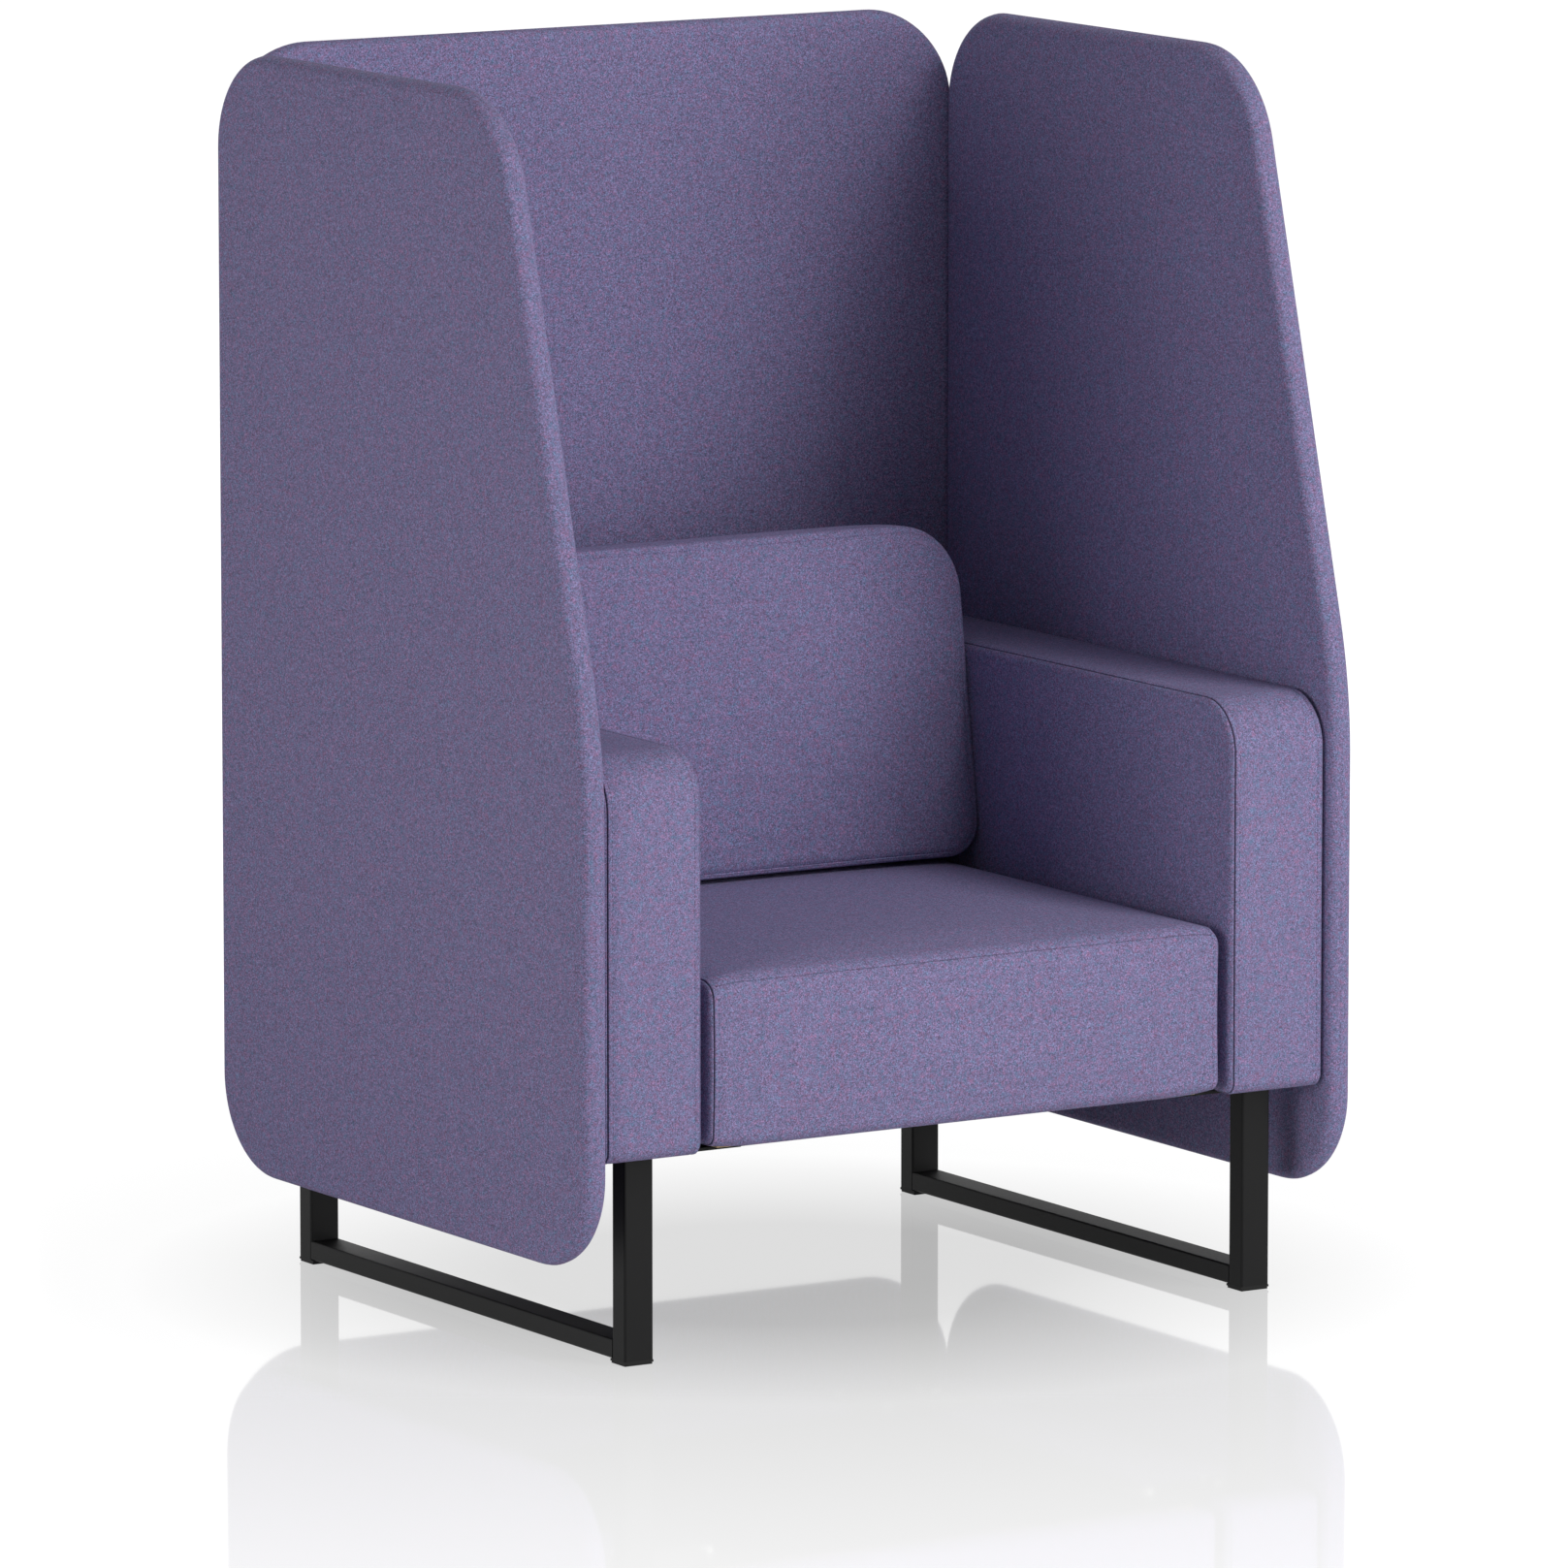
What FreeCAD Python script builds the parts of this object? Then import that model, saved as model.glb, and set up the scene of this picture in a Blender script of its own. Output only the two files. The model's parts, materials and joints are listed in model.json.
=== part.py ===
import FreeCAD, Part
import os
import re
from math import cos, pi, sin, sqrt
import Sketcher

Vector = FreeCAD.Vector

# Privacy booth sofa: an upholstered seat between two arms, on two sled frames, with three tall
# padded panels round it. X runs to the right as seen from the front, the sofa faces -Y, Z is up,
# and the origin is on the floor under the middle of the booth. Left and right are the viewer's.

# Driving sizes in millimetres, each written once
SIZES = {
    # Booth panels
    "booth_width": 1013,            # over the outer faces of the side panels
    "booth_height": 1400,           # floor to panel top
    "side_depth": 820,              # front to rear edge of a side panel
    "panel_thickness": 30,          # over both padded faces
    "panel_padding": 6,             # padding and fabric over the board, all round
    "panel_edge_flat": 4,           # flat left between a panel edge's two roundings
    "panel_floor_gap": 112.5,       # floor to panel bottom
    "panel_joint_gap": 1,           # side panel rear edge to back panel
    "panel_corner_radius": 112,
    "panel_nose_radius": 135,       # top front corner of a side panel
    "panel_bend_radius": 600,       # where the sloping front edge turns upright
    "panel_top_setback": 191,       # top front corner behind the front edge
    "panel_bend_height": 578,       # start of the slope above the panel bottom
    "back_panel_inset": 17.5,       # back panel ends inside the outer side faces
    # Arms and backrest
    "arm_gap": 1,                   # arms and backrest to the panels
    "arm_setback": 12.5,            # arm front behind the panel front edge
    "arm_width": 127,
    "arm_bottom": 236,
    "arm_top": 685,
    "arm_nose_radius": 60,          # top front turn of an arm
    "arm_corner_radius": 14,        # other corners of the arm and backrest outlines
    "arm_edge_radius": 7,           # seamed edges along the sides
    "side_padding": 10,             # on the sides and rear of arms and backrest
    "face_padding": 25,             # on their front and top
    "frame_board": 18,              # plywood of the box frames
    "backrest_depth": 134,
    "backrest_gap": 1,              # backrest to each arm
    # Seat
    "seat_gap": 10,                 # seat to each arm
    "seat_setback": 16,             # seat front behind the panel front edge
    "seat_rear_gap": 2,             # seat to backrest
    "seat_lift": 2,                 # seat's lower edge above the arm bottom
    "seat_rise": 192,               # lower edge to the seam round the seat top
    "seat_crown": 10,               # rise of the seat top above its seam
    "seat_crown_reach": 240,        # how far in from the seam the crown rises
    "seat_corner_radius": 14,
    "seat_draw": 3,                 # how far the sides draw in between corners
    "seat_hem": 8,                  # rounding of the lower edge
    "seat_skirt": 22,               # padding round the seat frame
    "seat_rail_width": 45,
    "seat_rail_height": 64,
    "webbing_thickness": 2,
    "strap_width": 50,
    "strap_count": 6,
    "dust_cover_thickness": 1,      # under the whole seat frame
    # Back cushion
    "cushion_gap": 1,               # cushion to each arm, and to the seat crown
    "cushion_height": 381,
    "cushion_foot_depth": 156,      # thickness to the front seam at the bottom
    "cushion_head_depth": 100,      # the same at the top
    "cushion_tilt": 12,             # fall of its top from the front seam to the rear
    "cushion_crown": 16,            # bulge of the front face past its seam
    "cushion_crown_reach": 120,
    "cushion_low_corner": 42,       # radius of the two lower corners
    "cushion_high_corner": 80,      # radius of the two upper corners
    "cushion_draw": 5,
    "cushion_hem": 9,               # rounding of the rear edge
    # Sled frames
    "sled_inset": 79,               # sled's outer face inside the side panel's outer face
    "sled_setback": 51,             # sled front behind the panel front edge
    "sled_rear_gap": 44,            # sled rear to the back panel
    "tube_width": 37,
    "leg_depth": 27,
    "rail_height": 22,
    "tube_wall": 2,
    "tube_corner_radius": 2.5,
    "plate_thickness": 3.5,
    "plate_margin": 17,             # plate past its seat and end bolts
    "glide_height": 5,
    "glide_overhang": 4,            # glide longer than the leg is deep
    "glide_step": 1,                # how far the lower tier is set in
    "glide_plug_height": 15,
    "plug_clearance": 0.2,          # glide plug to the tube's inner faces
    # Fasteners
    "bolt_radius": 4,
    "bolt_head_radius": 7.5,        # across the corners of the hexagon
    "bolt_head_height": 5.3,
    "bolt_tip_gap": 2,              # bolt end short of its insert's end
    "insert_radius": 6.5,
    "insert_length": 14,
    "spacer_radius": 10,
    "fit_clearance": 0.1,           # inserts, spacers and threads
    "bolt_clearance": 0.3,          # bolts through plain holes
    "panel_bolt_margin": 150,       # from the ends of an arm
    "bolt_low_margin": 90,          # above the arm bottom
    "bolt_high_margin": 130,        # below the arm top
    "back_bolt_spread": 400,        # between the back panel's bolts
    "plate_bolt_row": 45,           # from a sled's end to the first bolt in its plate
    "plate_bolt_pitch": 30,         # between the bolts into an arm
}
ARM_BOLTS = 2                       # bolts from each plate up into an arm
CROWN_STEPS = 5                     # sections that shape a cushion's crown
TOUCH = 0.01                        # two positions this close are the same place

doc = FreeCAD.newDocument("privacy_booth_sofa")
sheet = doc.addObject("Spreadsheet::Sheet", "Sizes")
for row, (alias, size) in enumerate(SIZES.items(), 1):
    sheet.set(f"A{row}", alias)
    sheet.set(f"B{row}", str(size))
    sheet.setAlias(f"B{row}", alias)
doc.recompute()

# Places worked out from the driving sizes
DEPTH = "(side_depth + panel_joint_gap + panel_thickness)"
FRONT = f"(-{DEPTH} / 2)"
REAR = f"({DEPTH} / 2)"
PANEL_RISE = "(booth_height - panel_floor_gap)"
PANEL_IN = "(booth_width / 2 - panel_thickness)"
BACK_IN = f"({REAR} - panel_thickness)"
ARM_OUT = f"({PANEL_IN} - arm_gap)"
ARM_IN = f"({ARM_OUT} - arm_width)"
ARM_FRONT = f"({FRONT} + arm_setback)"
ARM_REAR = f"({BACK_IN} - arm_gap)"
ARM_LENGTH = f"({ARM_REAR} - {ARM_FRONT})"
ARM_RISE = "(arm_top - arm_bottom)"
FRAME_RISE = f"({ARM_RISE} - face_padding)"
REST_HALF = f"({ARM_IN} - backrest_gap)"
REST_FRONT = f"({ARM_REAR} - backrest_depth)"
SEAT_HALF = f"({ARM_IN} - seat_gap)"
SEAT_FRONT = f"({FRONT} + seat_setback)"
SEAT_REAR = f"({REST_FRONT} - seat_rear_gap)"
SEAT_BOTTOM = "(arm_bottom + seat_lift)"
SEAT_SEAM = f"({SEAT_BOTTOM} + seat_rise)"
CUSHION_LOW = f"({SEAT_SEAM} + seat_crown + cushion_gap)"
SEAT_FRAME_HALF = f"({SEAT_HALF} - seat_skirt)"
SEAT_FRAME_FRONT = f"({SEAT_FRONT} + seat_skirt)"
SEAT_FRAME_REAR = f"({SEAT_REAR} - side_padding)"
SEAT_FRAME_LENGTH = f"({SEAT_FRAME_REAR} - {SEAT_FRAME_FRONT})"
SEAT_FRAME_LOW = "(arm_bottom + dust_cover_thickness)"
SEAT_FRAME_TOP = f"({SEAT_FRAME_LOW} + seat_rail_height)"
SLED_OUT = "(booth_width / 2 - sled_inset)"
SLED_FRONT = f"({FRONT} + sled_setback)"
SLED_REAR = f"({BACK_IN} - sled_rear_gap)"
PLATE_LOW = "(arm_bottom - plate_thickness)"
LEG_RISE = f"({PLATE_LOW} - glide_height)"
BOLT_HOLE = "(bolt_radius + bolt_clearance)"

SIDES = {"left": -1, "right": 1}
PLANE_AXES = {"XY_Plane": "xy", "XZ_Plane": "xz", "YZ_Plane": "yz"}
TURN = {
    "x": FreeCAD.Rotation(Vector(0, 1, 0), 90),
    "y": FreeCAD.Rotation(Vector(1, 0, 0), -90),
    "z": FreeCAD.Rotation(),
}
nodes = {}


def formula(text):
    """The text with the sheet's name in front of every size that it names."""
    return re.sub("[a-z_]+", lambda word: "Sizes." * (word.group() in SIZES) + word.group(), text)


def value(text):
    """The present value of a formula in sizes."""
    return float(sheet.evalExpression(formula(text)))


def bind(item, formulas):
    for prop, text in formulas.items():
        item.setExpression(prop, formula(text))


def place(item, x="0", y="0", z="0"):
    bind(item, {"Placement.Base.x": x, "Placement.Base.y": y, "Placement.Base.z": z})


def node(name, item):
    """Keep an object as a sub-part under its own name."""
    item.Label = name
    nodes[name] = item


def low_x(side, near, length):
    """Low X of a stretch that starts at near from the middle plane, on the given side."""
    return near if side > 0 else f"(-{near} - {length})"


def box(name, size, corner):
    item = doc.addObject("Part::Box", name)
    bind(item, dict(zip(("Length", "Width", "Height"), size)))
    place(item, *corner)
    return item


def rod(axis, low, length, radius, across, sides=0):
    """A cylinder, or a prism with that many sides, along an axis."""
    item = doc.addObject("Part::Prism" if sides else "Part::Cylinder", "rod")
    if sides:
        item.Polygon = sides
    bind(item, {"Circumradius" if sides else "Radius": radius, "Height": length})
    item.Placement = FreeCAD.Placement(Vector(), TURN[axis])
    place(item, **{**across, axis: low})
    return item


def cut(name, base, tool):
    item = doc.addObject("Part::Cut", name)
    item.Base = base
    item.Tool = tool
    return item


def fuse(name, items):
    item = doc.addObject("Part::MultiFuse", name)
    item.Shapes = items
    return item


def group(name, items):
    item = doc.addObject("Part::Compound", name)
    item.Links = items
    return item


def tube(axis, low, length, radius, bore, across):
    outer = rod(axis, low, length, radius, across)
    return cut("tube", outer, rod(axis, low, length, bore, across))


def polygon(sketch, outline):
    """A closed outline whose points are bound to formulas, measured from the sketch's origin."""
    first = sketch.GeometryCount
    points = [(value(u), value(v)) for u, v in outline]
    for start, end in zip(points, points[1:] + points[:1]):
        sketch.addGeometry(Part.LineSegment(Vector(*start, 0), Vector(*end, 0)))
    last = sketch.GeometryCount - 1
    for line in range(first, last + 1):
        following = line + 1 if line < last else first
        sketch.addConstraint(Sketcher.Constraint("Coincident", line, 2, following, 1))
    for line, (at, texts) in enumerate(zip(points, outline), first):
        for kind, base_axis, size, text in zip(("DistanceX", "DistanceY"), (-2, -1), at, texts):
            if text == "0":
                sketch.addConstraint(Sketcher.Constraint("PointOnObject", line, 1, base_axis))
                continue
            index = sketch.addConstraint(Sketcher.Constraint(kind, -1, 1, line, 1, size))
            name = f"{kind}_{line}"
            sketch.renameConstraint(index, name)
            bind(sketch, {f"Constraints.{name}": text})


def rectangle(low, width, height):
    far_u, far_v = f"({low} + {width})", f"({low} + {height})"
    return [(low, low), (far_u, low), (far_u, far_v), (low, far_v)]


def padded_body(name, role, outlines, length):
    """A body padded from closed outlines on one of its origin planes."""
    body = doc.addObject("PartDesign::Body", name)
    sketch = body.newObject("Sketcher::SketchObject", f"{name}_outline")
    sketch.AttachmentSupport = [(next(f for f in body.Origin.OriginFeatures if f.Role == role), "")]
    sketch.MapMode = "FlatFace"
    for outline in outlines:
        polygon(sketch, outline)
    pad = body.newObject("PartDesign::Pad", f"{name}_pad")
    pad.Profile = sketch
    bind(pad, {"Length": length})
    doc.recompute()
    return body


def round_edges(body, radius, wanted):
    base = body.Tip
    names = [f"Edge{i}" for i, edge in enumerate(base.Shape.Edges, 1) if wanted(edge)]
    fillet = body.newObject("PartDesign::Fillet", f"{body.Name}_round")
    fillet.Base = (base, names)
    bind(fillet, {"Radius": radius})
    body.Tip = fillet
    doc.recompute()


def round_corners(body, role, corners, radius):
    """Round the padded edges that stand on the given points of the outline."""
    axes = PLANE_AXES[role]
    spots = [(value(u), value(v)) for u, v in corners]

    def wanted(edge):
        ends = [[getattr(vertex.Point, axis) for axis in axes] for vertex in edge.Vertexes]
        return any(all(max(abs(a - b) for a, b in zip(end, spot)) < TOUCH for end in ends) for spot in spots)

    round_edges(body, radius, wanted)


def round_rims(body, axis, positions, radius):
    """Round every edge that lies in one of the planes across an axis."""
    planes = [value(position) for position in positions]

    def wanted(edge):
        ends = (getattr(edge.BoundBox, axis + "Min"), getattr(edge.BoundBox, axis + "Max"))
        return any(all(abs(end - plane) < TOUCH for end in ends) for plane in planes)

    round_edges(body, radius, wanted)


def side_panel_outline(inset):
    """Side panel outline from its front bottom corner, drawn in by inset all round."""
    rise = f"({PANEL_RISE} - 2 * {inset})"
    depth = f"(side_depth - 2 * {inset})"
    slope = f"(panel_top_setback / ({PANEL_RISE} - panel_bend_height))"
    secant = f"sqrt(1 + {slope} * {slope})"
    setback = f"(panel_top_setback + {inset} * ({secant} - {slope} - 1))"
    bend = f"(panel_bend_height - {inset} + {inset} * (1 - {secant}) / {slope})"
    return [("0", "0"), (depth, "0"), (depth, rise), (setback, rise), ("0", bend)]


def side_panel_body(name, inset, thickness):
    role = "YZ_Plane"
    outline = side_panel_outline(inset)
    body = padded_body(name, role, [outline], thickness)
    round_corners(body, role, outline[:3], f"(panel_corner_radius - {inset})")
    round_corners(body, role, outline[3:4], f"(panel_nose_radius - {inset})")
    round_corners(body, role, outline[4:], f"(panel_bend_radius - {inset})")
    return body


def back_panel_body(name, inset, thickness):
    role = "XZ_Plane"
    width = f"(booth_width - 2 * back_panel_inset - 2 * {inset})"
    rise = f"({PANEL_RISE} - 2 * {inset})"
    outline = [("0", "0"), (width, "0"), (width, rise), ("0", rise)]
    body = padded_body(name, role, [outline], thickness)
    round_corners(body, role, outline, f"(panel_corner_radius - {inset})")
    return body


def upholstered_body(name, depth, width, nose_radius):
    """Outer form of an arm or backrest: an upright outline with rounded top, padded across."""
    role = "YZ_Plane"
    outline = [("0", "0"), (depth, "0"), (depth, ARM_RISE), ("0", ARM_RISE)]
    body = padded_body(name, role, [outline], width)
    round_corners(body, role, outline[:3], "arm_corner_radius")
    round_corners(body, role, outline[3:], nose_radius)
    round_rims(body, "X", ("0", width), "arm_edge_radius")
    return body


def box_frame(name, size, corner):
    """A plywood box: the block that the padding covers, and the block with its hollow cut out."""
    block = box(f"{name}_block", size, corner)
    inner_size = [f"({length} - 2 * frame_board)" for length in size]
    inner_corner = [f"({low} + frame_board)" for low in corner]
    return block, cut(f"{name}_box", block, box(f"{name}_hollow", inner_size, inner_corner))


class Fastenings:
    """Bolts of one kind with their spacers and inserts, and the holes that they need."""

    def __init__(self):
        self.bolts, self.spacers, self.inserts, self.holes = [], [], [], []

    def add(self, axis, side, start, wall, spacer, across):
        """A bolt whose head bears at start and passes a wall and a spacer into its insert."""

        def low(offset, length):
            near = f"({start} + {offset})"
            return low_x(side, near, length) if axis == "x" else near

        through = f"({wall} + {spacer})"
        shank = f"(bolt_head_height + {through} + insert_length - bolt_tip_gap)"
        head_low = low("(-bolt_head_height)", "bolt_head_height")
        head = rod(axis, head_low, "bolt_head_height", "bolt_head_radius", across, sides=6)
        body = rod(axis, low("(-bolt_head_height)", shank), shank, "bolt_radius", across)
        self.bolts.append(fuse("bolt", [head, body]))
        insert = (axis, low(through, "insert_length"), "insert_length")
        self.inserts.append(tube(*insert, "insert_radius", "(bolt_radius + fit_clearance)", across))
        self.holes.append(rod(axis, low("0", wall), wall, BOLT_HOLE, across))
        self.holes.append(rod(*insert, "(insert_radius + fit_clearance)", across))
        if spacer != "0":
            sleeve = (axis, low(wall, spacer), spacer)
            self.spacers.append(tube(*sleeve, "spacer_radius", BOLT_HOLE, across))
            self.holes.append(rod(*sleeve, "(spacer_radius + fit_clearance)", across))

    def keep(self, bolts, spacers, inserts):
        for name, items in ((bolts, self.bolts), (spacers, self.spacers), (inserts, self.inserts)):
            if items:
                node(name, group(name, items))


# Fasteners first, because their holes are cut in the pieces that they join
BOLT_LEVELS = ("(arm_bottom + bolt_low_margin)", "(arm_top - bolt_high_margin)")
PANEL_SPACER = "(side_padding + arm_gap + panel_padding)"
REST_SPACER = "(2 * side_padding + backrest_gap)"
REST_FRAME_FRONT = f"({REST_FRONT} + face_padding)"
REST_FRAME_REAR = f"({ARM_REAR} - side_padding)"
REST_FRAME_DEPTH = f"({REST_FRAME_REAR} - {REST_FRAME_FRONT})"
REST_FRAME_MIDDLE = f"({REST_FRAME_FRONT} + {REST_FRAME_DEPTH} / 2)"
SEAT_BOLT_X = f"({SEAT_FRAME_HALF} - seat_rail_width / 2)"
SEAT_BOLT_REAR = f"({SEAT_FRAME_REAR} - seat_rail_width / 2)"
ARM_BOLT_X = f"(({ARM_IN} + side_padding + {SLED_OUT}) / 2)"

panel_fastenings = Fastenings()
backrest_fastenings = Fastenings()
leg_fastenings = Fastenings()
for level in BOLT_LEVELS:
    for side in SIDES.values():
        for along in (f"({ARM_FRONT} + panel_bolt_margin)", f"({ARM_REAR} - panel_bolt_margin)"):
            bearing = f"({ARM_OUT} - side_padding - frame_board)"
            panel_fastenings.add("x", side, bearing, "frame_board", PANEL_SPACER, {"y": along, "z": level})
        bearing = f"({REST_HALF} - side_padding - frame_board)"
        across = {"y": REST_FRAME_MIDDLE, "z": level}
        backrest_fastenings.add("x", side, bearing, "frame_board", REST_SPACER, across)
        bearing = f"({REST_FRAME_REAR} - frame_board)"
        across = {"x": f"({side} * back_bolt_spread / 2)", "z": level}
        panel_fastenings.add("y", 1, bearing, "frame_board", PANEL_SPACER, across)
bolt_rows = [f"(plate_bolt_row + {i} * plate_bolt_pitch)" for i in range(ARM_BOLTS)]
plate_bolts = [(ARM_BOLT_X, f"({SLED_FRONT} + {row})") for row in bolt_rows]
plate_bolts += [(ARM_BOLT_X, f"({SLED_REAR} - {row})") for row in bolt_rows]
plate_bolts.append((SEAT_BOLT_X, f"({SLED_FRONT} + {bolt_rows[0]})"))
plate_bolts += [(SEAT_BOLT_X, y) for y in (SEAT_BOLT_REAR, REST_FRAME_MIDDLE)]
for side in SIDES.values():
    for x, y in plate_bolts:
        leg_fastenings.add("z", 1, PLATE_LOW, "plate_thickness", "0", {"x": f"({side} * {x})", "y": y})
panel_fastenings.keep("panel_bolts", "panel_spacers", "panel_inserts")
backrest_fastenings.keep("backrest_bolts", "backrest_spacers", "backrest_inserts")
leg_fastenings.keep("leg_bolts", "leg_spacers", "leg_inserts")
drilling = fuse("drilling", panel_fastenings.holes + backrest_fastenings.holes + leg_fastenings.holes)


def drilled(name, item):
    """Keep an object as a sub-part with the fastener holes cut in it."""
    node(name, cut(name, item, drilling))


# Panels: a board with padding and fabric all round
BOARD_THICKNESS = "(panel_thickness - 2 * panel_padding)"
EDGE_ROUND = "((panel_thickness - panel_edge_flat) / 2)"
for word, side in SIDES.items():
    cover = side_panel_body(f"{word}_panel_form", "0", "panel_thickness")
    round_rims(cover, "X", ("0", "panel_thickness"), EDGE_ROUND)
    place(cover, low_x(side, PANEL_IN, "panel_thickness"), FRONT, "panel_floor_gap")
    board = side_panel_body(f"{word}_board_form", "panel_padding", BOARD_THICKNESS)
    board_low = low_x(side, f"({PANEL_IN} + panel_padding)", BOARD_THICKNESS)
    place(board, board_low, f"({FRONT} + panel_padding)", "(panel_floor_gap + panel_padding)")
    drilled(f"{word}_panel_board", board)
    drilled(f"{word}_panel_cover", cut(f"{word}_panel_sleeve", cover, board))

cover = back_panel_body("back_panel_form", "0", "panel_thickness")
round_rims(cover, "Y", ("0", "(-panel_thickness)"), EDGE_ROUND)
place(cover, "(back_panel_inset - booth_width / 2)", REAR, "panel_floor_gap")
board = back_panel_body("back_board_form", "panel_padding", BOARD_THICKNESS)
board_low = "(back_panel_inset + panel_padding - booth_width / 2)"
place(board, board_low, f"({REAR} - panel_padding)", "(panel_floor_gap + panel_padding)")
drilled("back_panel_board", board)
drilled("back_panel_cover", cut("back_panel_sleeve", cover, board))

# Arms: a plywood box with a padded cover that is open underneath
for word, side in SIDES.items():
    frame_size = (
        "(arm_width - 2 * side_padding)",
        f"({ARM_LENGTH} - face_padding - side_padding)",
        FRAME_RISE,
    )
    frame_low = low_x(side, f"({ARM_IN} + side_padding)", frame_size[0])
    frame_corner = (frame_low, f"({ARM_FRONT} + face_padding)", "arm_bottom")
    block, frame = box_frame(f"{word}_arm", frame_size, frame_corner)
    form = upholstered_body(f"{word}_arm_form", ARM_LENGTH, "arm_width", "arm_nose_radius")
    place(form, low_x(side, ARM_IN, "arm_width"), ARM_FRONT, "arm_bottom")
    drilled(f"{word}_arm_frame", frame)
    drilled(f"{word}_arm_cover", cut(f"{word}_arm_sleeve", form, block))

# Backrest between the arms, made the same way
rest_width = f"(2 * {REST_HALF})"
frame_size = (f"({rest_width} - 2 * side_padding)", REST_FRAME_DEPTH, FRAME_RISE)
frame_corner = (f"(side_padding - {REST_HALF})", REST_FRAME_FRONT, "arm_bottom")
block, frame = box_frame("backrest", frame_size, frame_corner)
form = upholstered_body("backrest_form", "backrest_depth", rest_width, "arm_corner_radius")
place(form, f"(-{REST_HALF})", REST_FRONT, "arm_bottom")
drilled("backrest_frame", frame)
drilled("backrest_cover", cut("backrest_sleeve", form, block))

# Seat frame, elastic webbing over it and dust cover under it
frame_width = f"(2 * {SEAT_FRAME_HALF})"
frame_low = (f"(-{SEAT_FRAME_HALF})", SEAT_FRAME_FRONT, SEAT_FRAME_LOW)
opening_low = [f"({low} + seat_rail_width)" for low in frame_low[:2]] + [SEAT_FRAME_LOW]
opening_size = [f"({length} - 2 * seat_rail_width)" for length in (frame_width, SEAT_FRAME_LENGTH)]
block = box("seat_frame_block", (frame_width, SEAT_FRAME_LENGTH, "seat_rail_height"), frame_low)
opening = box("seat_frame_opening", (*opening_size, "seat_rail_height"), opening_low)
drilled("seat_frame", cut("seat_frame_ring", block, opening))
cloth_size = (frame_width, SEAT_FRAME_LENGTH, "dust_cover_thickness")
drilled("seat_dust_cover", box("seat_cloth", cloth_size, (*frame_low[:2], "arm_bottom")))
straps = []
for i in range(round(value("strap_count"))):
    strap_middle = f"({frame_width} * (({i} + 0.5) / strap_count - 0.5))"
    strap_low = (f"({strap_middle} - strap_width / 2)", SEAT_FRAME_FRONT, SEAT_FRAME_TOP)
    straps.append(box("strap", ("strap_width", SEAT_FRAME_LENGTH, "webbing_thickness"), strap_low))
node("seat_webbing", group("seat_webbing", straps))


def pillow_section(half_u, half_v, low, high, draw, put):
    """Closed wire of four drawn-in sides and four corner arcs; put(u, v) gives a point in space.

    The corners at the lower v have the radius low, and those at the higher v the radius high.
    """
    bow_low, bow_high = (radius * (1 - sqrt(0.5)) for radius in (low, high))
    stops = [(high - half_u, half_v), (half_u - high, half_v), (half_u, half_v - high), (half_u, low - half_v)]
    stops += [(half_u - low, -half_v), (low - half_u, -half_v), (-half_u, low - half_v), (-half_u, half_v - high)]
    side = (low - high) / 2
    middles = [(0, half_v - draw), (half_u - bow_high, half_v - bow_high), (half_u - draw, side)]
    middles += [(half_u - bow_low, bow_low - half_v), (0, draw - half_v), (bow_low - half_u, bow_low - half_v)]
    middles += [(draw - half_u, side), (bow_high - half_u, half_v - bow_high)]
    arcs = []
    for start, middle, end in zip(stops, middles, stops[1:] + stops[:1]):
        arcs.append(Part.Arc(put(*start), put(*middle), put(*end)).toShape())
    return Part.Wire(arcs)


def crown_profile(crown, reach):
    """Steps of a quarter ellipse from the seam: how far in from it, and how far above it."""
    turns = [step / CROWN_STEPS * pi / 2 for step in range(CROWN_STEPS + 1)]
    return [(reach * (1 - cos(turn)), crown * sin(turn)) for turn in turns]


def seat_form():
    """Seat block: hemmed lower edge, sides drawn in at mid height and a crowned top."""
    half_width, front, rear = value(SEAT_HALF), value(SEAT_FRONT), value(SEAT_REAR)
    low, seam = value(SEAT_BOTTOM), value(SEAT_SEAM)
    hem, draw, corner = value("seat_hem"), value("seat_draw"), value("seat_corner_radius")
    levels = [(hem / 2, low), (0, low + hem), (draw, (low + seam) / 2)]
    crown = crown_profile(value("seat_crown"), value("seat_crown_reach"))
    levels += [(inset, seam + rise) for inset, rise in crown]
    half_depth = (rear - front) / 2
    sections = []
    for inset, level in levels:
        share = 1 - inset / min(half_width, half_depth)
        sections.append(pillow_section(
            half_width - inset, half_depth - inset, corner * share, corner * share, draw,
            lambda u, v: Vector(u, (front + rear) / 2 + v, level)))
    return Part.makeLoft(sections, True, True)


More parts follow.
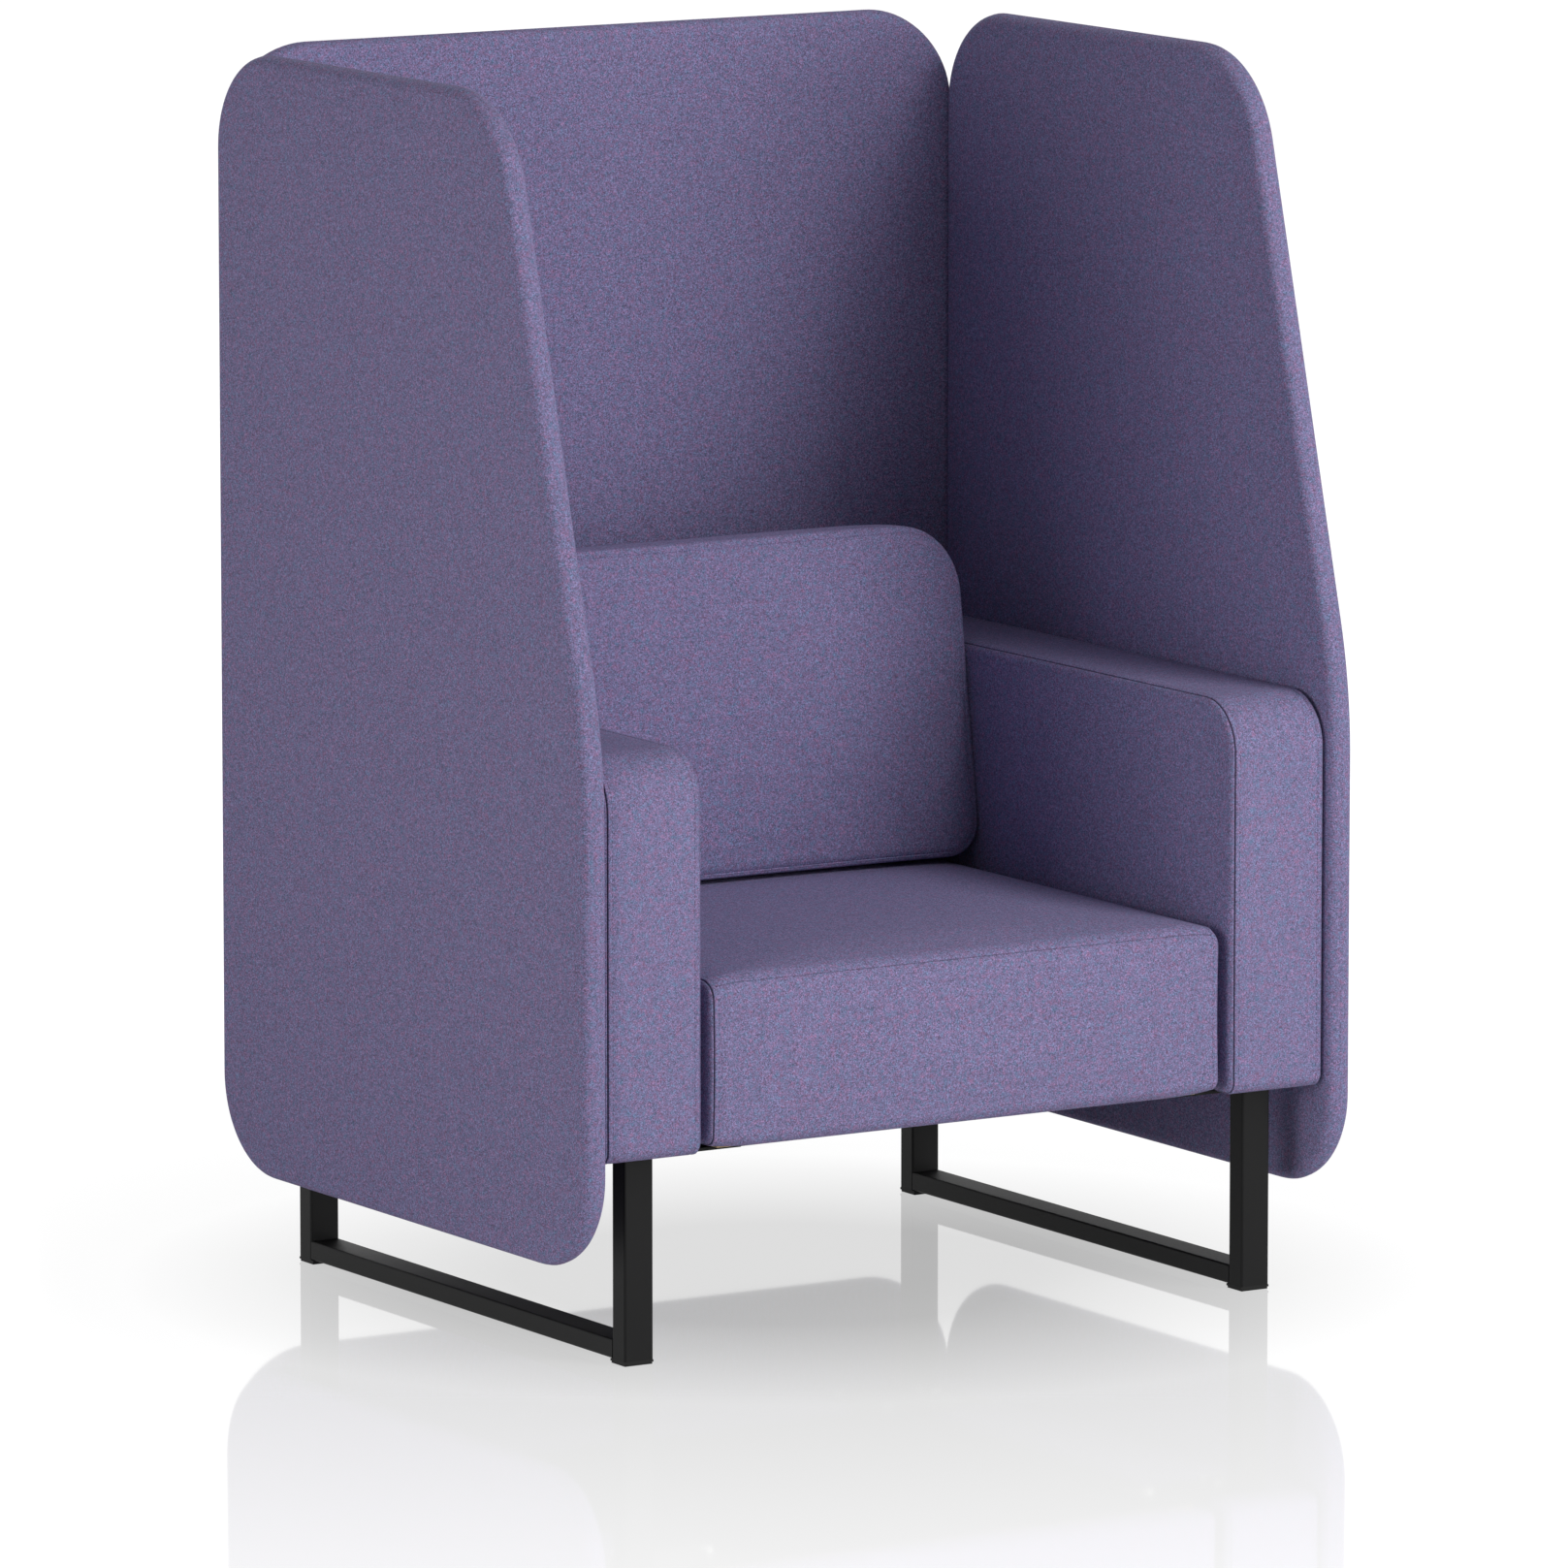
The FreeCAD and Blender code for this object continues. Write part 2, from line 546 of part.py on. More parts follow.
def cushion_form():
    """Back cushion: flat rear face, drawn-in sides, a crowned, leaning front and a top that falls to the rear."""
    half_width = value(f"({ARM_IN} - cushion_gap)")
    half_height = value("cushion_height / 2")
    middle, rear = value(CUSHION_LOW) + half_height, value(REST_FRONT)
    foot, head = value("cushion_foot_depth"), value("cushion_head_depth")
    hem, draw, tilt = value("cushion_hem"), value("cushion_draw"), value("cushion_tilt")
    low, high = value("cushion_low_corner"), value("cushion_high_corner")
    layers = [(hem / 2, 0, 0), (0, hem / foot, 0), (draw, 0.5, 0)]
    crown = crown_profile(value("cushion_crown"), value("cushion_crown_reach"))
    layers += [(inset, 1, rise) for inset, rise in crown]
    sections = []
    for inset, along, rise in layers:

        def put(u, v):
            height = (1 + v / half_height) / 2
            depth = foot + (head - foot) * height
            return Vector(u, rear - along * depth - rise, middle + v + tilt * (along - 2 / 3) * height)

        share = 1 - inset / min(half_width, half_height)
        sections.append(pillow_section(
            half_width - inset, half_height - inset, low * share, high * share, draw, put))
    return Part.makeLoft(sections, True, True)


# Cushions: soft forms lofted through arcs
form = doc.addObject("Part::Feature", "seat_form")
form.Shape = seat_form()
pocket_size = (frame_width, SEAT_FRAME_LENGTH, "(seat_rail_height + webbing_thickness)")
node("seat_cushion", cut("seat_cushion", form, box("seat_pocket", pocket_size, frame_low)))
cushion = doc.addObject("Part::Feature", "back_cushion")
cushion.Shape = cushion_form()
node("back_cushion", cushion)


def square_tube(name, role, height, length):
    """A rectangular tube with rounded outer corners, padded along its length."""
    outer = [("0", "0"), ("tube_width", "0"), ("tube_width", height), ("0", height)]
    inner = rectangle("tube_wall", "(tube_width - 2 * tube_wall)", f"({height} - 2 * tube_wall)")
    body = padded_body(name, role, [outer, inner], length)
    round_corners(body, role, outer, "tube_corner_radius")
    return body


# Sled frames: legs, floor rails, mounting plates and glides
RAIL_LENGTH = f"({SLED_REAR} - {SLED_FRONT} - 2 * leg_depth)"
GLIDE_LENGTH = "(leg_depth + glide_overhang)"
PLATE_IN = f"({SEAT_BOLT_X} - plate_margin)"
PLATE_LENGTH = f"({SLED_OUT} - {PLATE_IN})"
REAR_PLATE_FRONT = f"({SEAT_BOLT_REAR} - plate_margin)"
for word, side in SIDES.items():
    tube_low = low_x(side, f"({SLED_OUT} - tube_width)", "tube_width")
    plate_low_x = low_x(side, PLATE_IN, PLATE_LENGTH)
    rail = square_tube(f"{word}_floor_rail", "XZ_Plane", "rail_height", RAIL_LENGTH)
    place(rail, tube_low, f"({SLED_REAR} - leg_depth)", "glide_height")
    node(f"{word}_floor_rail", rail)
    ends = {
        "front": (
            SLED_FRONT,
            SLED_FRONT,
            SLED_FRONT,
            f"({bolt_rows[-1]} + plate_margin)",
        ),
        "rear": (
            f"({SLED_REAR} - leg_depth)",
            f"({SLED_REAR} - {GLIDE_LENGTH})",
            REAR_PLATE_FRONT,
            f"({SLED_REAR} - {REAR_PLATE_FRONT})",
        ),
    }
    for end, (leg_low, glide_low, plate_low, plate_depth) in ends.items():
        name = f"{word}_{end}"
        leg = square_tube(f"{name}_leg", "XY_Plane", "leg_depth", LEG_RISE)
        place(leg, tube_low, leg_low, "glide_height")
        node(f"{name}_leg", leg)
        plate_size = (PLATE_LENGTH, plate_depth, "plate_thickness")
        drilled(f"{name}_plate", box(f"{name}_strap", plate_size, (plate_low_x, plate_low, PLATE_LOW)))
        tier_size = ("tube_width", GLIDE_LENGTH, "(glide_height / 2)")
        tier_low = (tube_low, glide_low, "(glide_height / 2)")
        pad_size = [f"({length} - 2 * glide_step)" for length in tier_size[:2]] + ["(glide_height / 2)"]
        pad_low = [f"({low} + glide_step)" for low in tier_low[:2]] + ["0"]
        plug_inset = "(tube_wall + plug_clearance)"
        plug_size = [f"({length} - 2 * {plug_inset})" for length in ("tube_width", "leg_depth")]
        plug_low = [f"({low} + {plug_inset})" for low in (tube_low, leg_low)]
        tiers = [
            box("glide_pad", pad_size, pad_low),
            box("glide_tier", tier_size, tier_low),
            box("glide_plug", (*plug_size, "glide_plug_height"), (*plug_low, "glide_height")),
        ]
        node(f"{name}_glide", fuse(f"{name}_glide", tiers))

doc.recompute()
for item in doc.Objects:
    if {"Invalid", "Error"} & set(item.State):
        raise RuntimeError(f"{item.Label} failed: {item.State}")
for name, item in nodes.items():
    if item.Shape.isNull() or not item.Shape.isValid() or not item.Shape.Solids:
        raise RuntimeError(f"{name} has no valid solid")
os.makedirs("parts", exist_ok=True)
for name, item in nodes.items():
    item.Shape.exportStep(f"parts/{name}.step")
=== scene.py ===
import json
from math import cos, radians, sin, tan

import bmesh
import bpy
import numpy as np
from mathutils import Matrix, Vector


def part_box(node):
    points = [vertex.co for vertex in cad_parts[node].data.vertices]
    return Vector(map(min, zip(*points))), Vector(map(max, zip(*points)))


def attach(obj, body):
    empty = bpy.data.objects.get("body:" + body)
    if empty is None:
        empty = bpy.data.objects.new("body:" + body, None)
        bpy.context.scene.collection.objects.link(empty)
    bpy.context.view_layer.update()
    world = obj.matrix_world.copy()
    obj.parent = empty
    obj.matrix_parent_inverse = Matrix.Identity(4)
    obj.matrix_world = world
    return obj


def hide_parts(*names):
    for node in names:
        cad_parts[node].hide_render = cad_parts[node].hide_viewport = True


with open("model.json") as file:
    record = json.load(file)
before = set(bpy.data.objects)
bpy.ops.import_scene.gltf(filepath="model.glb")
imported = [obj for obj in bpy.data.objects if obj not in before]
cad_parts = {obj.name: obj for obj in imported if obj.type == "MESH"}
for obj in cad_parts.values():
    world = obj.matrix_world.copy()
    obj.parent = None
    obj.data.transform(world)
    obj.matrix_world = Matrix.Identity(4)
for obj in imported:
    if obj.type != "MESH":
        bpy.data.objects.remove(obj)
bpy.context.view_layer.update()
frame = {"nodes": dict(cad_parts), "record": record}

MM = 0.001

# Camera, solved from the photograph
LENS = 286.64
SENSOR = 36.0
AZIMUTH = radians(31.763)
PITCH = radians(8.8)
TARGET = Vector((0.0108, 0.0, 0.5657))
DISTANCE = 14.2203

# Shared by all the upholstery
RING_POINTS = 480                   # points round each outline
CORNER_POINTS = 25                  # points round each of its corners, before they are spaced evenly
FLANK_SHARES = (0.86, 0.66, 0.44, 0.22, 0.06)   # how far a face's inner rings shrink towards its middle
FIRM, SEAT_FILL, CUSHION_FILL = 0.9, 0.8, 0.7   # how firmly panels and arms, seat and cushion are filled
OFF_AXIS = (0.3, 0.5, 0.8)          # a direction that no cord or stitch runs along
TINY = 1e-9                         # keeps a division from dividing by zero


def object_from(name, points, faces):
    """A smooth shaded mesh object with its normals outward."""
    mesh = bpy.data.meshes.new(name)
    mesh.from_pydata([tuple(p) for p in points], [], faces)
    mesh.validate()
    form = bmesh.new()
    form.from_mesh(mesh)
    bmesh.ops.recalc_face_normals(form, faces=form.faces)
    form.to_mesh(mesh)
    form.free()
    mesh.polygons.foreach_set("use_smooth", [True] * len(mesh.polygons))
    mesh.update()
    piece = bpy.data.objects.new(name, mesh)
    bpy.context.scene.collection.objects.link(piece)
    return piece


def box_uvs(piece):
    """Lay the weave flat on each face: metres along the two axes across its main normal."""
    mesh = piece.data
    layer = mesh.uv_layers.new(name="weave")
    points = np.array([v.co for v in mesh.vertices])
    for face in mesh.polygons:
        across = int(np.argmax(np.abs(face.normal)))
        axes = [axis for axis in range(3) if axis != across]
        for loop in face.loop_indices:
            layer.data[loop].uv = points[mesh.loops[loop].vertex_index][axes]


def outline(corners, count=RING_POINTS):
    """Evenly spaced points, and outward normals, round a polygon whose corners are (u, v, radius)."""
    path = []
    corner_count = len(corners)
    for i, (u, v, radius) in enumerate(corners):
        here = np.array((u, v))
        before = np.array(corners[i - 1][:2]) - here
        after = np.array(corners[(i + 1) % corner_count][:2]) - here
        before /= np.linalg.norm(before)
        after /= np.linalg.norm(after)
        half = np.arccos(np.clip(before @ after, -1, 1)) / 2
        middle = (before + after) / np.linalg.norm(before + after)
        centre = here + middle * radius / sin(half)
        start, end = here + before * radius / tan(half), here + after * radius / tan(half)
        for t in np.linspace(0, 1, CORNER_POINTS):
            spoke = (start - centre) * (1 - t) + (end - centre) * t
            path.append(centre + spoke / max(np.linalg.norm(spoke), TINY) * radius)
    path = np.array(path)
    closed = np.vstack([path, path[:1]])
    lengths = np.concatenate([[0], np.cumsum(np.linalg.norm(np.diff(closed, axis=0), axis=1))])
    places = np.linspace(0, lengths[-1], count, endpoint=False)
    points = np.column_stack([np.interp(places, lengths, closed[:, k]) for k in range(2)])
    along = np.roll(points, -1, axis=0) - np.roll(points, 1, axis=0)
    normals = np.column_stack([along[:, 1], -along[:, 0]])
    normals /= np.linalg.norm(normals, axis=1)[:, None]
    return points, normals


def loft_points(rings):
    """The points of a loft: the middle of its first ring, all the rings, and the middle of its last."""
    return np.vstack([rings[0].mean(axis=0)] + list(rings) + [rings[-1].mean(axis=0)])


def loft(name, rings):
    """A mesh through rings of as many points each, closed by a fan at each end."""
    count = len(rings[0])
    points = loft_points(rings)
    faces = []
    for j in range(count):
        k = (j + 1) % count
        faces.append((0, 1 + k, 1 + j))
        for i in range(len(rings) - 1):
            low, high = 1 + i * count, 1 + (i + 1) * count
            faces.append((low + j, low + k, high + k, high + j))
        last = 1 + (len(rings) - 1) * count
        faces.append((last + j, last + k, len(points) - 1))
    return object_from(name, points, faces)


def across_x(points, x):
    """Points of an outline in Y and Z, placed at x."""
    return np.column_stack([np.broadcast_to(x, len(points)), points[:, 0], points[:, 1]])


def across_y(points, y):
    """Points of an outline in X and Z, placed at y."""
    return np.column_stack([points[:, 0], np.broadcast_to(y, len(points)), points[:, 1]])


def finish_piece(piece, material, slot, *nodes, padded=None):
    """Give a piece its materials and its place in the frame, and hide the nodes that it stands for."""
    box_uvs(piece)
    piece.data.materials.append(material)
    # Pieces with seam grooves also get the darker wool that paints shade into those grooves
    if any(face.material_index for face in piece.data.polygons):
        piece.data.materials.append(SEAM_SHADE)
    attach(piece, "root")
    if nodes:
        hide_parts(*nodes)


# Materials

YARN_SPREAD = 0.30                  # how far single yarns stray from the drift's colour
WEAVE_SHARE = 0.45                  # height of the weave beside the fibres' in the relief


def shader(name):
    """A new node material, its nodes and links, and its main shader."""
    material = bpy.data.materials.new(name)
    material.use_nodes = True
    nodes, links = material.node_tree.nodes, material.node_tree.links
    return material, nodes, links, nodes["Principled BSDF"]


def add(nodes, kind, **settings):
    """A new node, with its sockets' values or its own properties set by name."""
    item = nodes.new(kind)
    for key, setting in settings.items():
        if key in item.inputs:
            item.inputs[key].default_value = setting
        else:
            setattr(item, key, setting)
    return item


def ramp(nodes, stops):
    """A colour ramp through (position, colour) stops."""
    item = nodes.new("ShaderNodeValToRGB")
    elements = item.color_ramp.elements
    while len(elements) < len(stops):
        elements.new(0.5)
    for element, (position, colour) in zip(elements, stops):
        element.position = position
        element.color = (*colour, 1)
    return item


def fabric_material(name, shade=1.0):
    """Heathered wool: a fine light and dark grain over slow drifts of rose and blue yarn."""
    material, nodes, links, principled = shader(name)
    place = nodes.new("ShaderNodeTexCoord")
    drift = add(nodes, "ShaderNodeTexNoise", Scale=190.0, Detail=2.0, Roughness=0.6)
    yarn = add(nodes, "ShaderNodeTexVoronoi", Scale=430.0)
    grain = add(nodes, "ShaderNodeTexVoronoi", Scale=880.0)
    fibre = add(nodes, "ShaderNodeTexNoise", Scale=1500.0, Detail=2.0)
    for texture in (drift, yarn, grain, fibre):
        links.new(place.outputs["Object"], texture.inputs["Vector"])
    split = nodes.new("ShaderNodeSeparateColor")
    links.new(yarn.outputs["Color"], split.inputs["Color"])
    hue = add(nodes, "ShaderNodeMath", operation="MULTIPLY_ADD")
    links.new(split.outputs["Red"], hue.inputs[0])
    hue.inputs[1].default_value = YARN_SPREAD
    links.new(drift.outputs["Fac"], hue.inputs[2])
    tones = [
        (0.36, (0.290, 0.168, 0.312)),
        (0.50, (0.246, 0.178, 0.330)),
        (0.62, (0.216, 0.185, 0.344)),
        (0.70, (0.208, 0.189, 0.348)),
        (0.82, (0.184, 0.202, 0.358)),
        (0.96, (0.150, 0.220, 0.374)),
    ]
    # shade darkens the whole dye: for the thread, and for the painted shade in the seam grooves
    dye = ramp(nodes, [(position, [shade * part for part in colour]) for position, colour in tones])
    links.new(hue.outputs["Value"], dye.inputs["Fac"])
    levels = ((0.0, 0.50), (0.3, 0.84), (0.7, 1.07), (1.0, 1.62))
    glint = ramp(nodes, [(position, (level,) * 3) for position, level in levels])
    split_grain = nodes.new("ShaderNodeSeparateColor")
    links.new(grain.outputs["Color"], split_grain.inputs["Color"])
    links.new(split_grain.outputs["Green"], glint.inputs["Fac"])
    colour = add(nodes, "ShaderNodeMix", data_type="RGBA", blend_type="MULTIPLY")
    colour.inputs["Factor"].default_value = 1.0
    links.new(dye.outputs["Color"], colour.inputs["A"])
    links.new(glint.outputs["Color"], colour.inputs["B"])
    links.new(colour.outputs["Result"], principled.inputs["Base Color"])
    weave = add(nodes, "ShaderNodeTexWave", Scale=150.0, Distortion=1.5, wave_type="BANDS")
    weft = add(nodes, "ShaderNodeTexWave", Scale=150.0, Distortion=1.5, bands_direction="Y")
    uv = add(nodes, "ShaderNodeUVMap", uv_map="weave")
    for texture in (weave, weft):
        links.new(uv.outputs["UV"], texture.inputs["Vector"])
    threads = add(nodes, "ShaderNodeMath", operation="MAXIMUM")
    links.new(weave.outputs["Fac"], threads.inputs[0])
    links.new(weft.outputs["Fac"], threads.inputs[1])
    relief = add(nodes, "ShaderNodeMath", operation="MULTIPLY_ADD")
    links.new(threads.outputs["Value"], relief.inputs[0])
    relief.inputs[1].default_value = WEAVE_SHARE
    links.new(fibre.outputs["Fac"], relief.inputs[2])
    bump = add(nodes, "ShaderNodeBump", Strength=0.3, Distance=0.0006)
    links.new(relief.outputs["Value"], bump.inputs["Height"])
    links.new(bump.outputs["Normal"], principled.inputs["Normal"])
    felt = ramp(nodes, [(0.3, (0.84,) * 3), (0.7, (0.96,) * 3)])
    links.new(fibre.outputs["Fac"], felt.inputs["Fac"])
    links.new(felt.outputs["Color"], principled.inputs["Roughness"])
    principled.inputs["Specular IOR Level"].default_value = 0.2
    principled.inputs["Sheen Weight"].default_value = 0.05
    principled.inputs["Sheen Roughness"].default_value = 0.6
    principled.inputs["Sheen Tint"].default_value = (0.80, 0.76, 0.92, 1)
    return material


def powder_coat_material(name, colour, roughness, grain):
    """Satin paint with a fine orange-peel surface."""
    material, nodes, links, principled = shader(name)
    place = nodes.new("ShaderNodeTexCoord")
    peel = add(nodes, "ShaderNodeTexNoise", Scale=grain, Detail=3.0)
    links.new(place.outputs["Object"], peel.inputs["Vector"])
    tint = ramp(nodes, [(0.3, [0.85 * c for c in colour]), (0.7, [1.2 * c for c in colour])])
    links.new(peel.outputs["Fac"], tint.inputs["Fac"])
    links.new(tint.outputs["Color"], principled.inputs["Base Color"])
    gloss = ramp(nodes, [(0.3, (roughness - 0.06,) * 3), (0.7, (roughness + 0.08,) * 3)])
    links.new(peel.outputs["Fac"], gloss.inputs["Fac"])
    links.new(gloss.outputs["Color"], principled.inputs["Roughness"])
    bump = add(nodes, "ShaderNodeBump", Strength=0.12, Distance=0.0003)
    links.new(peel.outputs["Fac"], bump.inputs["Height"])
    links.new(bump.outputs["Normal"], principled.inputs["Normal"])
    principled.inputs["Specular IOR Level"].default_value = 0.14
    return material


def wood_material(name, light, dark, grain):
    """Bare board or timber with grain that runs along its length."""
    material, nodes, links, principled = shader(name)
    place = nodes.new("ShaderNodeTexCoord")
    stretch = nodes.new("ShaderNodeMapping")
    stretch.inputs["Scale"].default_value = grain
    links.new(place.outputs["Object"], stretch.inputs["Vector"])
    rings = add(nodes, "ShaderNodeTexNoise", Scale=30.0, Detail=6.0, Distortion=0.6)
    links.new(stretch.outputs["Vector"], rings.inputs["Vector"])
    tint = ramp(nodes, [(0.3, dark), (0.7, light)])
    links.new(rings.outputs["Fac"], tint.inputs["Fac"])
    links.new(tint.outputs["Color"], principled.inputs["Base Color"])
    bump = add(nodes, "ShaderNodeBump", Strength=0.2, Distance=0.0004)
    links.new(rings.outputs["Fac"], bump.inputs["Height"])
    links.new(bump.outputs["Normal"], principled.inputs["Normal"])
    principled.inputs["Roughness"].default_value = 0.7
    return material


def metal_material(name, colour, roughness):
    """Plated steel with fine scratches."""
    material, nodes, links, principled = shader(name)
    place = nodes.new("ShaderNodeTexCoord")
    scratch = add(nodes, "ShaderNodeTexNoise", Scale=900.0, Detail=4.0)
    links.new(place.outputs["Object"], scratch.inputs["Vector"])
    gloss = ramp(nodes, [(0.3, (roughness - 0.1,) * 3), (0.7, (roughness + 0.15,) * 3)])
    links.new(scratch.outputs["Fac"], gloss.inputs["Fac"])
    links.new(gloss.outputs["Color"], principled.inputs["Roughness"])
    principled.inputs["Base Color"].default_value = (*colour, 1)
    principled.inputs["Metallic"].default_value = 1.0
    return material


FABRIC = fabric_material("heathered_wool")
# Darker wool for the stitches, and for the cord that paints shade along the seat's front seam
THREAD_AND_SEAM_SHADE = fabric_material("sewing_thread_and_seam_shade", shade=0.62)
# A darker copy of the wool: painted shade for the faces inside the seam grooves
SEAM_SHADE = fabric_material("seam_painted_shade", shade=0.42)
MATERIALS = {
    "upholstery": FABRIC,
    "panel_board": wood_material("particle_board", (0.45, 0.33, 0.20), (0.30, 0.21, 0.12), (6, 6, 6)),
    "plywood": wood_material("birch_plywood", (0.58, 0.44, 0.27), (0.44, 0.32, 0.18), (2, 8, 1)),
    "timber": wood_material("softwood", (0.60, 0.45, 0.27), (0.46, 0.32, 0.17), (2, 1, 8)),
    "webbing": powder_coat_material("elastic_webbing", (0.03, 0.03, 0.033), 0.8, 1400.0),
    "dust_cloth": powder_coat_material("non_woven_cloth", (0.02, 0.02, 0.022), 0.9, 700.0),
    "black_steel": powder_coat_material("black_powder_coat", (0.005, 0.005, 0.0052), 0.5, 1100.0),
    "glide_plastic": powder_coat_material("black_moulding", (0.014, 0.014, 0.014), 0.55, 500.0),
    "zinc_steel": metal_material("zinc_plate", (0.62, 0.62, 0.60), 0.38),
}
for part in frame["record"]["subparts"]:
    slots = frame["nodes"][part["node"]].data.materials
    slots.clear()
    slots.append(MATERIALS[part["material_slot"]])


# Panels

PANEL_ROUND = 13 * MM               # rounding of a panel's edges
TIGHT_ROUND = 6 * MM                # rounding where the back panel meets a side panel
TIGHT_POWER = 4                     # how fast that fades away from the vertical sides
PANEL_ROUND_STEPS = 9
PANEL_BULGE = 0.6 * MM              # swell of the edge between its two roundings
BULGE_STEPS = (0.7, 0.35)           # rings on that swell, as shares of half its width
BULGE_REACH = 1.5                   # share at which the swell's curve would have fallen by its height
SIDE_CORNER = 112 * MM              # radius of a panel's corners
SIDE_NOSE = 135 * MM                # radius at the top of a side panel's sloping front edge
SIDE_BEND = 600 * MM                # radius where that edge starts to slope
TOP_SETBACK = 191 * MM              # how far it slopes back
BEND_HEIGHT = 578 * MM              # height of the bend above the panel's foot


def panel_rings(corners, low, high, place, tight=None):
    """Rings of a padded board: rounded edges all round, and flat faces at low and high.

    Where tight(normals) is 1, the rounding next to the low face shrinks to TIGHT_ROUND.
    """
    points, normals = outline(corners)
    middle, half = (low + high) / 2, (high - low) / 2
    turns = np.linspace(0, np.pi / 2, PANEL_ROUND_STEPS)
    share = tight(normals) if tight else np.zeros(len(points))
    edges = []
    for tightness in (np.zeros(len(points)), share):
        radius = PANEL_ROUND + (TIGHT_ROUND - PANEL_ROUND) * tightness
        flat = half - radius
        roll = [(PANEL_BULGE + radius * (1 - sin(turn)), flat + radius * cos(turn)) for turn in turns]
        roll += [(PANEL_BULGE * (step / BULGE_REACH) ** 2, flat * step) for step in BULGE_STEPS]
        edges.append(roll)
    face = points - normals * (PANEL_BULGE + PANEL_ROUND)
    centre = face.mean(axis=0)

    def ring(inset, depth):
        spots = points - normals * np.broadcast_to(inset, len(points))[:, None]
        return place(spots, np.broadcast_to(depth, len(points)))

    def flank(shares, depth):
        return [place(centre + (face - centre) * part, np.full(len(points), depth)) for part in shares]

    rings = flank(reversed(FLANK_SHARES), middle + half)
    rings += [ring(inset, middle + rise) for inset, rise in edges[0]]
    rings.append(ring(0.0, middle))
    rings += [ring(inset, middle - rise) for inset, rise in reversed(edges[1])]
    return rings + flank(FLANK_SHARES, middle - half)


def beside_side_panels(normals):
    """1 on the back panel's vertical sides, and 0 along its top and foot."""
    return normals[:, 0] ** TIGHT_POWER


for side in ("left", "right"):
    low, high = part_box(f"{side}_panel_cover")
    corners = [
        (low.y, low.z, SIDE_CORNER),
        (high.y, low.z, SIDE_CORNER),
        (high.y, high.z, SIDE_CORNER),
        (low.y + TOP_SETBACK, high.z, SIDE_NOSE),
        (low.y, low.z + BEND_HEIGHT, SIDE_BEND),
    ]
    piece = loft(f"{side}_panel_upholstery", panel_rings(corners, low.x, high.x, across_x))
    finish_piece(piece, FABRIC, "upholstery", f"{side}_panel_cover", padded=FIRM)

low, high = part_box("back_panel_cover")
corners = [
    (low.x, low.z, SIDE_CORNER),
    (high.x, low.z, SIDE_CORNER),
    (high.x, high.z, SIDE_CORNER),
    (low.x, high.z, SIDE_CORNER),
]
rings = panel_rings(corners, low.y, high.y, across_y, beside_side_panels)
piece = loft("back_panel_upholstery", rings[::-1])
finish_piece(piece, FABRIC, "upholstery", "back_panel_cover", padded=FIRM)


# Arms, backrest and seat: a band sewn round two side panels

ROLL_TURN = radians(54)             # how far a side panel turns over the edge before its seam
ROLL_STEPS = 7
ROLL_BORDER = 2 * MM                # flat ring between a side panel's swell and that roll
SEAM_LEAD = 0.7 * MM                # from the end of the roll to the seam's deepest line
# Section of the seam and its topstitching: mm along the band from the deepest line, mm deep, and kind
SEAM_SECTION = (
    (-0.3, 2.72, "seam"),
    (0.0, 3.4, "seam"),
    (0.4, 2.72, "seam"),
    (0.6, 1.02, "seam"),
    (0.8, 0.3, "edge"),
    (1.5, 0.0, "edge"),
    (4.4, 0.0, "edge"),
    (6.0, 0.45, "stitch"),
    (7.6, 0.0, "band"),
)
BAND_SPACING = 20 * MM              # between the rings of a plain band
LEAST_BAND_RINGS = 3
CORD_SIDES = 8
STITCH_SIDES = 6
STITCH_LENGTH = 3.8 * MM
STITCH_GAP = 1.6 * MM
STITCH_RADIUS = 0.5 * MM
# Share of a stitch's length, and its share of the radius there
STITCH_STATIONS = ((0.0, 0.25), (0.25, 1.0), (0.75, 1.0), (1.0, 0.25))


def sweep(name, path, radius, closed=False):
    """A round cord along a path of points."""
    sides = CORD_SIDES
    path = np.array(path)
    ahead = np.roll(path, -1, axis=0) - np.roll(path, 1, axis=0)
    if not closed:
        ahead[0], ahead[-1] = path[1] - path[0], path[-1] - path[-2]
    ahead /= np.linalg.norm(ahead, axis=1)[:, None]
    aside = np.cross(ahead[0], OFF_AXIS)
    points, faces = [], []
    for spot, along in zip(path, ahead):
        aside = aside - along * (aside @ along)
        aside /= np.linalg.norm(aside)
        up = np.cross(along, aside)
        for turn in np.arange(sides) * 2 * np.pi / sides:
            points.append(spot + radius * (cos(turn) * aside + sin(turn) * up))
    last = len(path) if closed else len(path) - 1
    for i in range(last):
        for k in range(sides):
            a, b = i * sides + k, i * sides + (k + 1) % sides
            c, d = (i + 1) % len(path) * sides + (k + 1) % sides, (i + 1) % len(path) * sides + k
            faces.append((a, b, c, d))
    if not closed:
        faces.append(tuple(range(sides)))
        faces.append(tuple(range(len(points) - sides, len(points))))
    return object_from(name, points, faces)


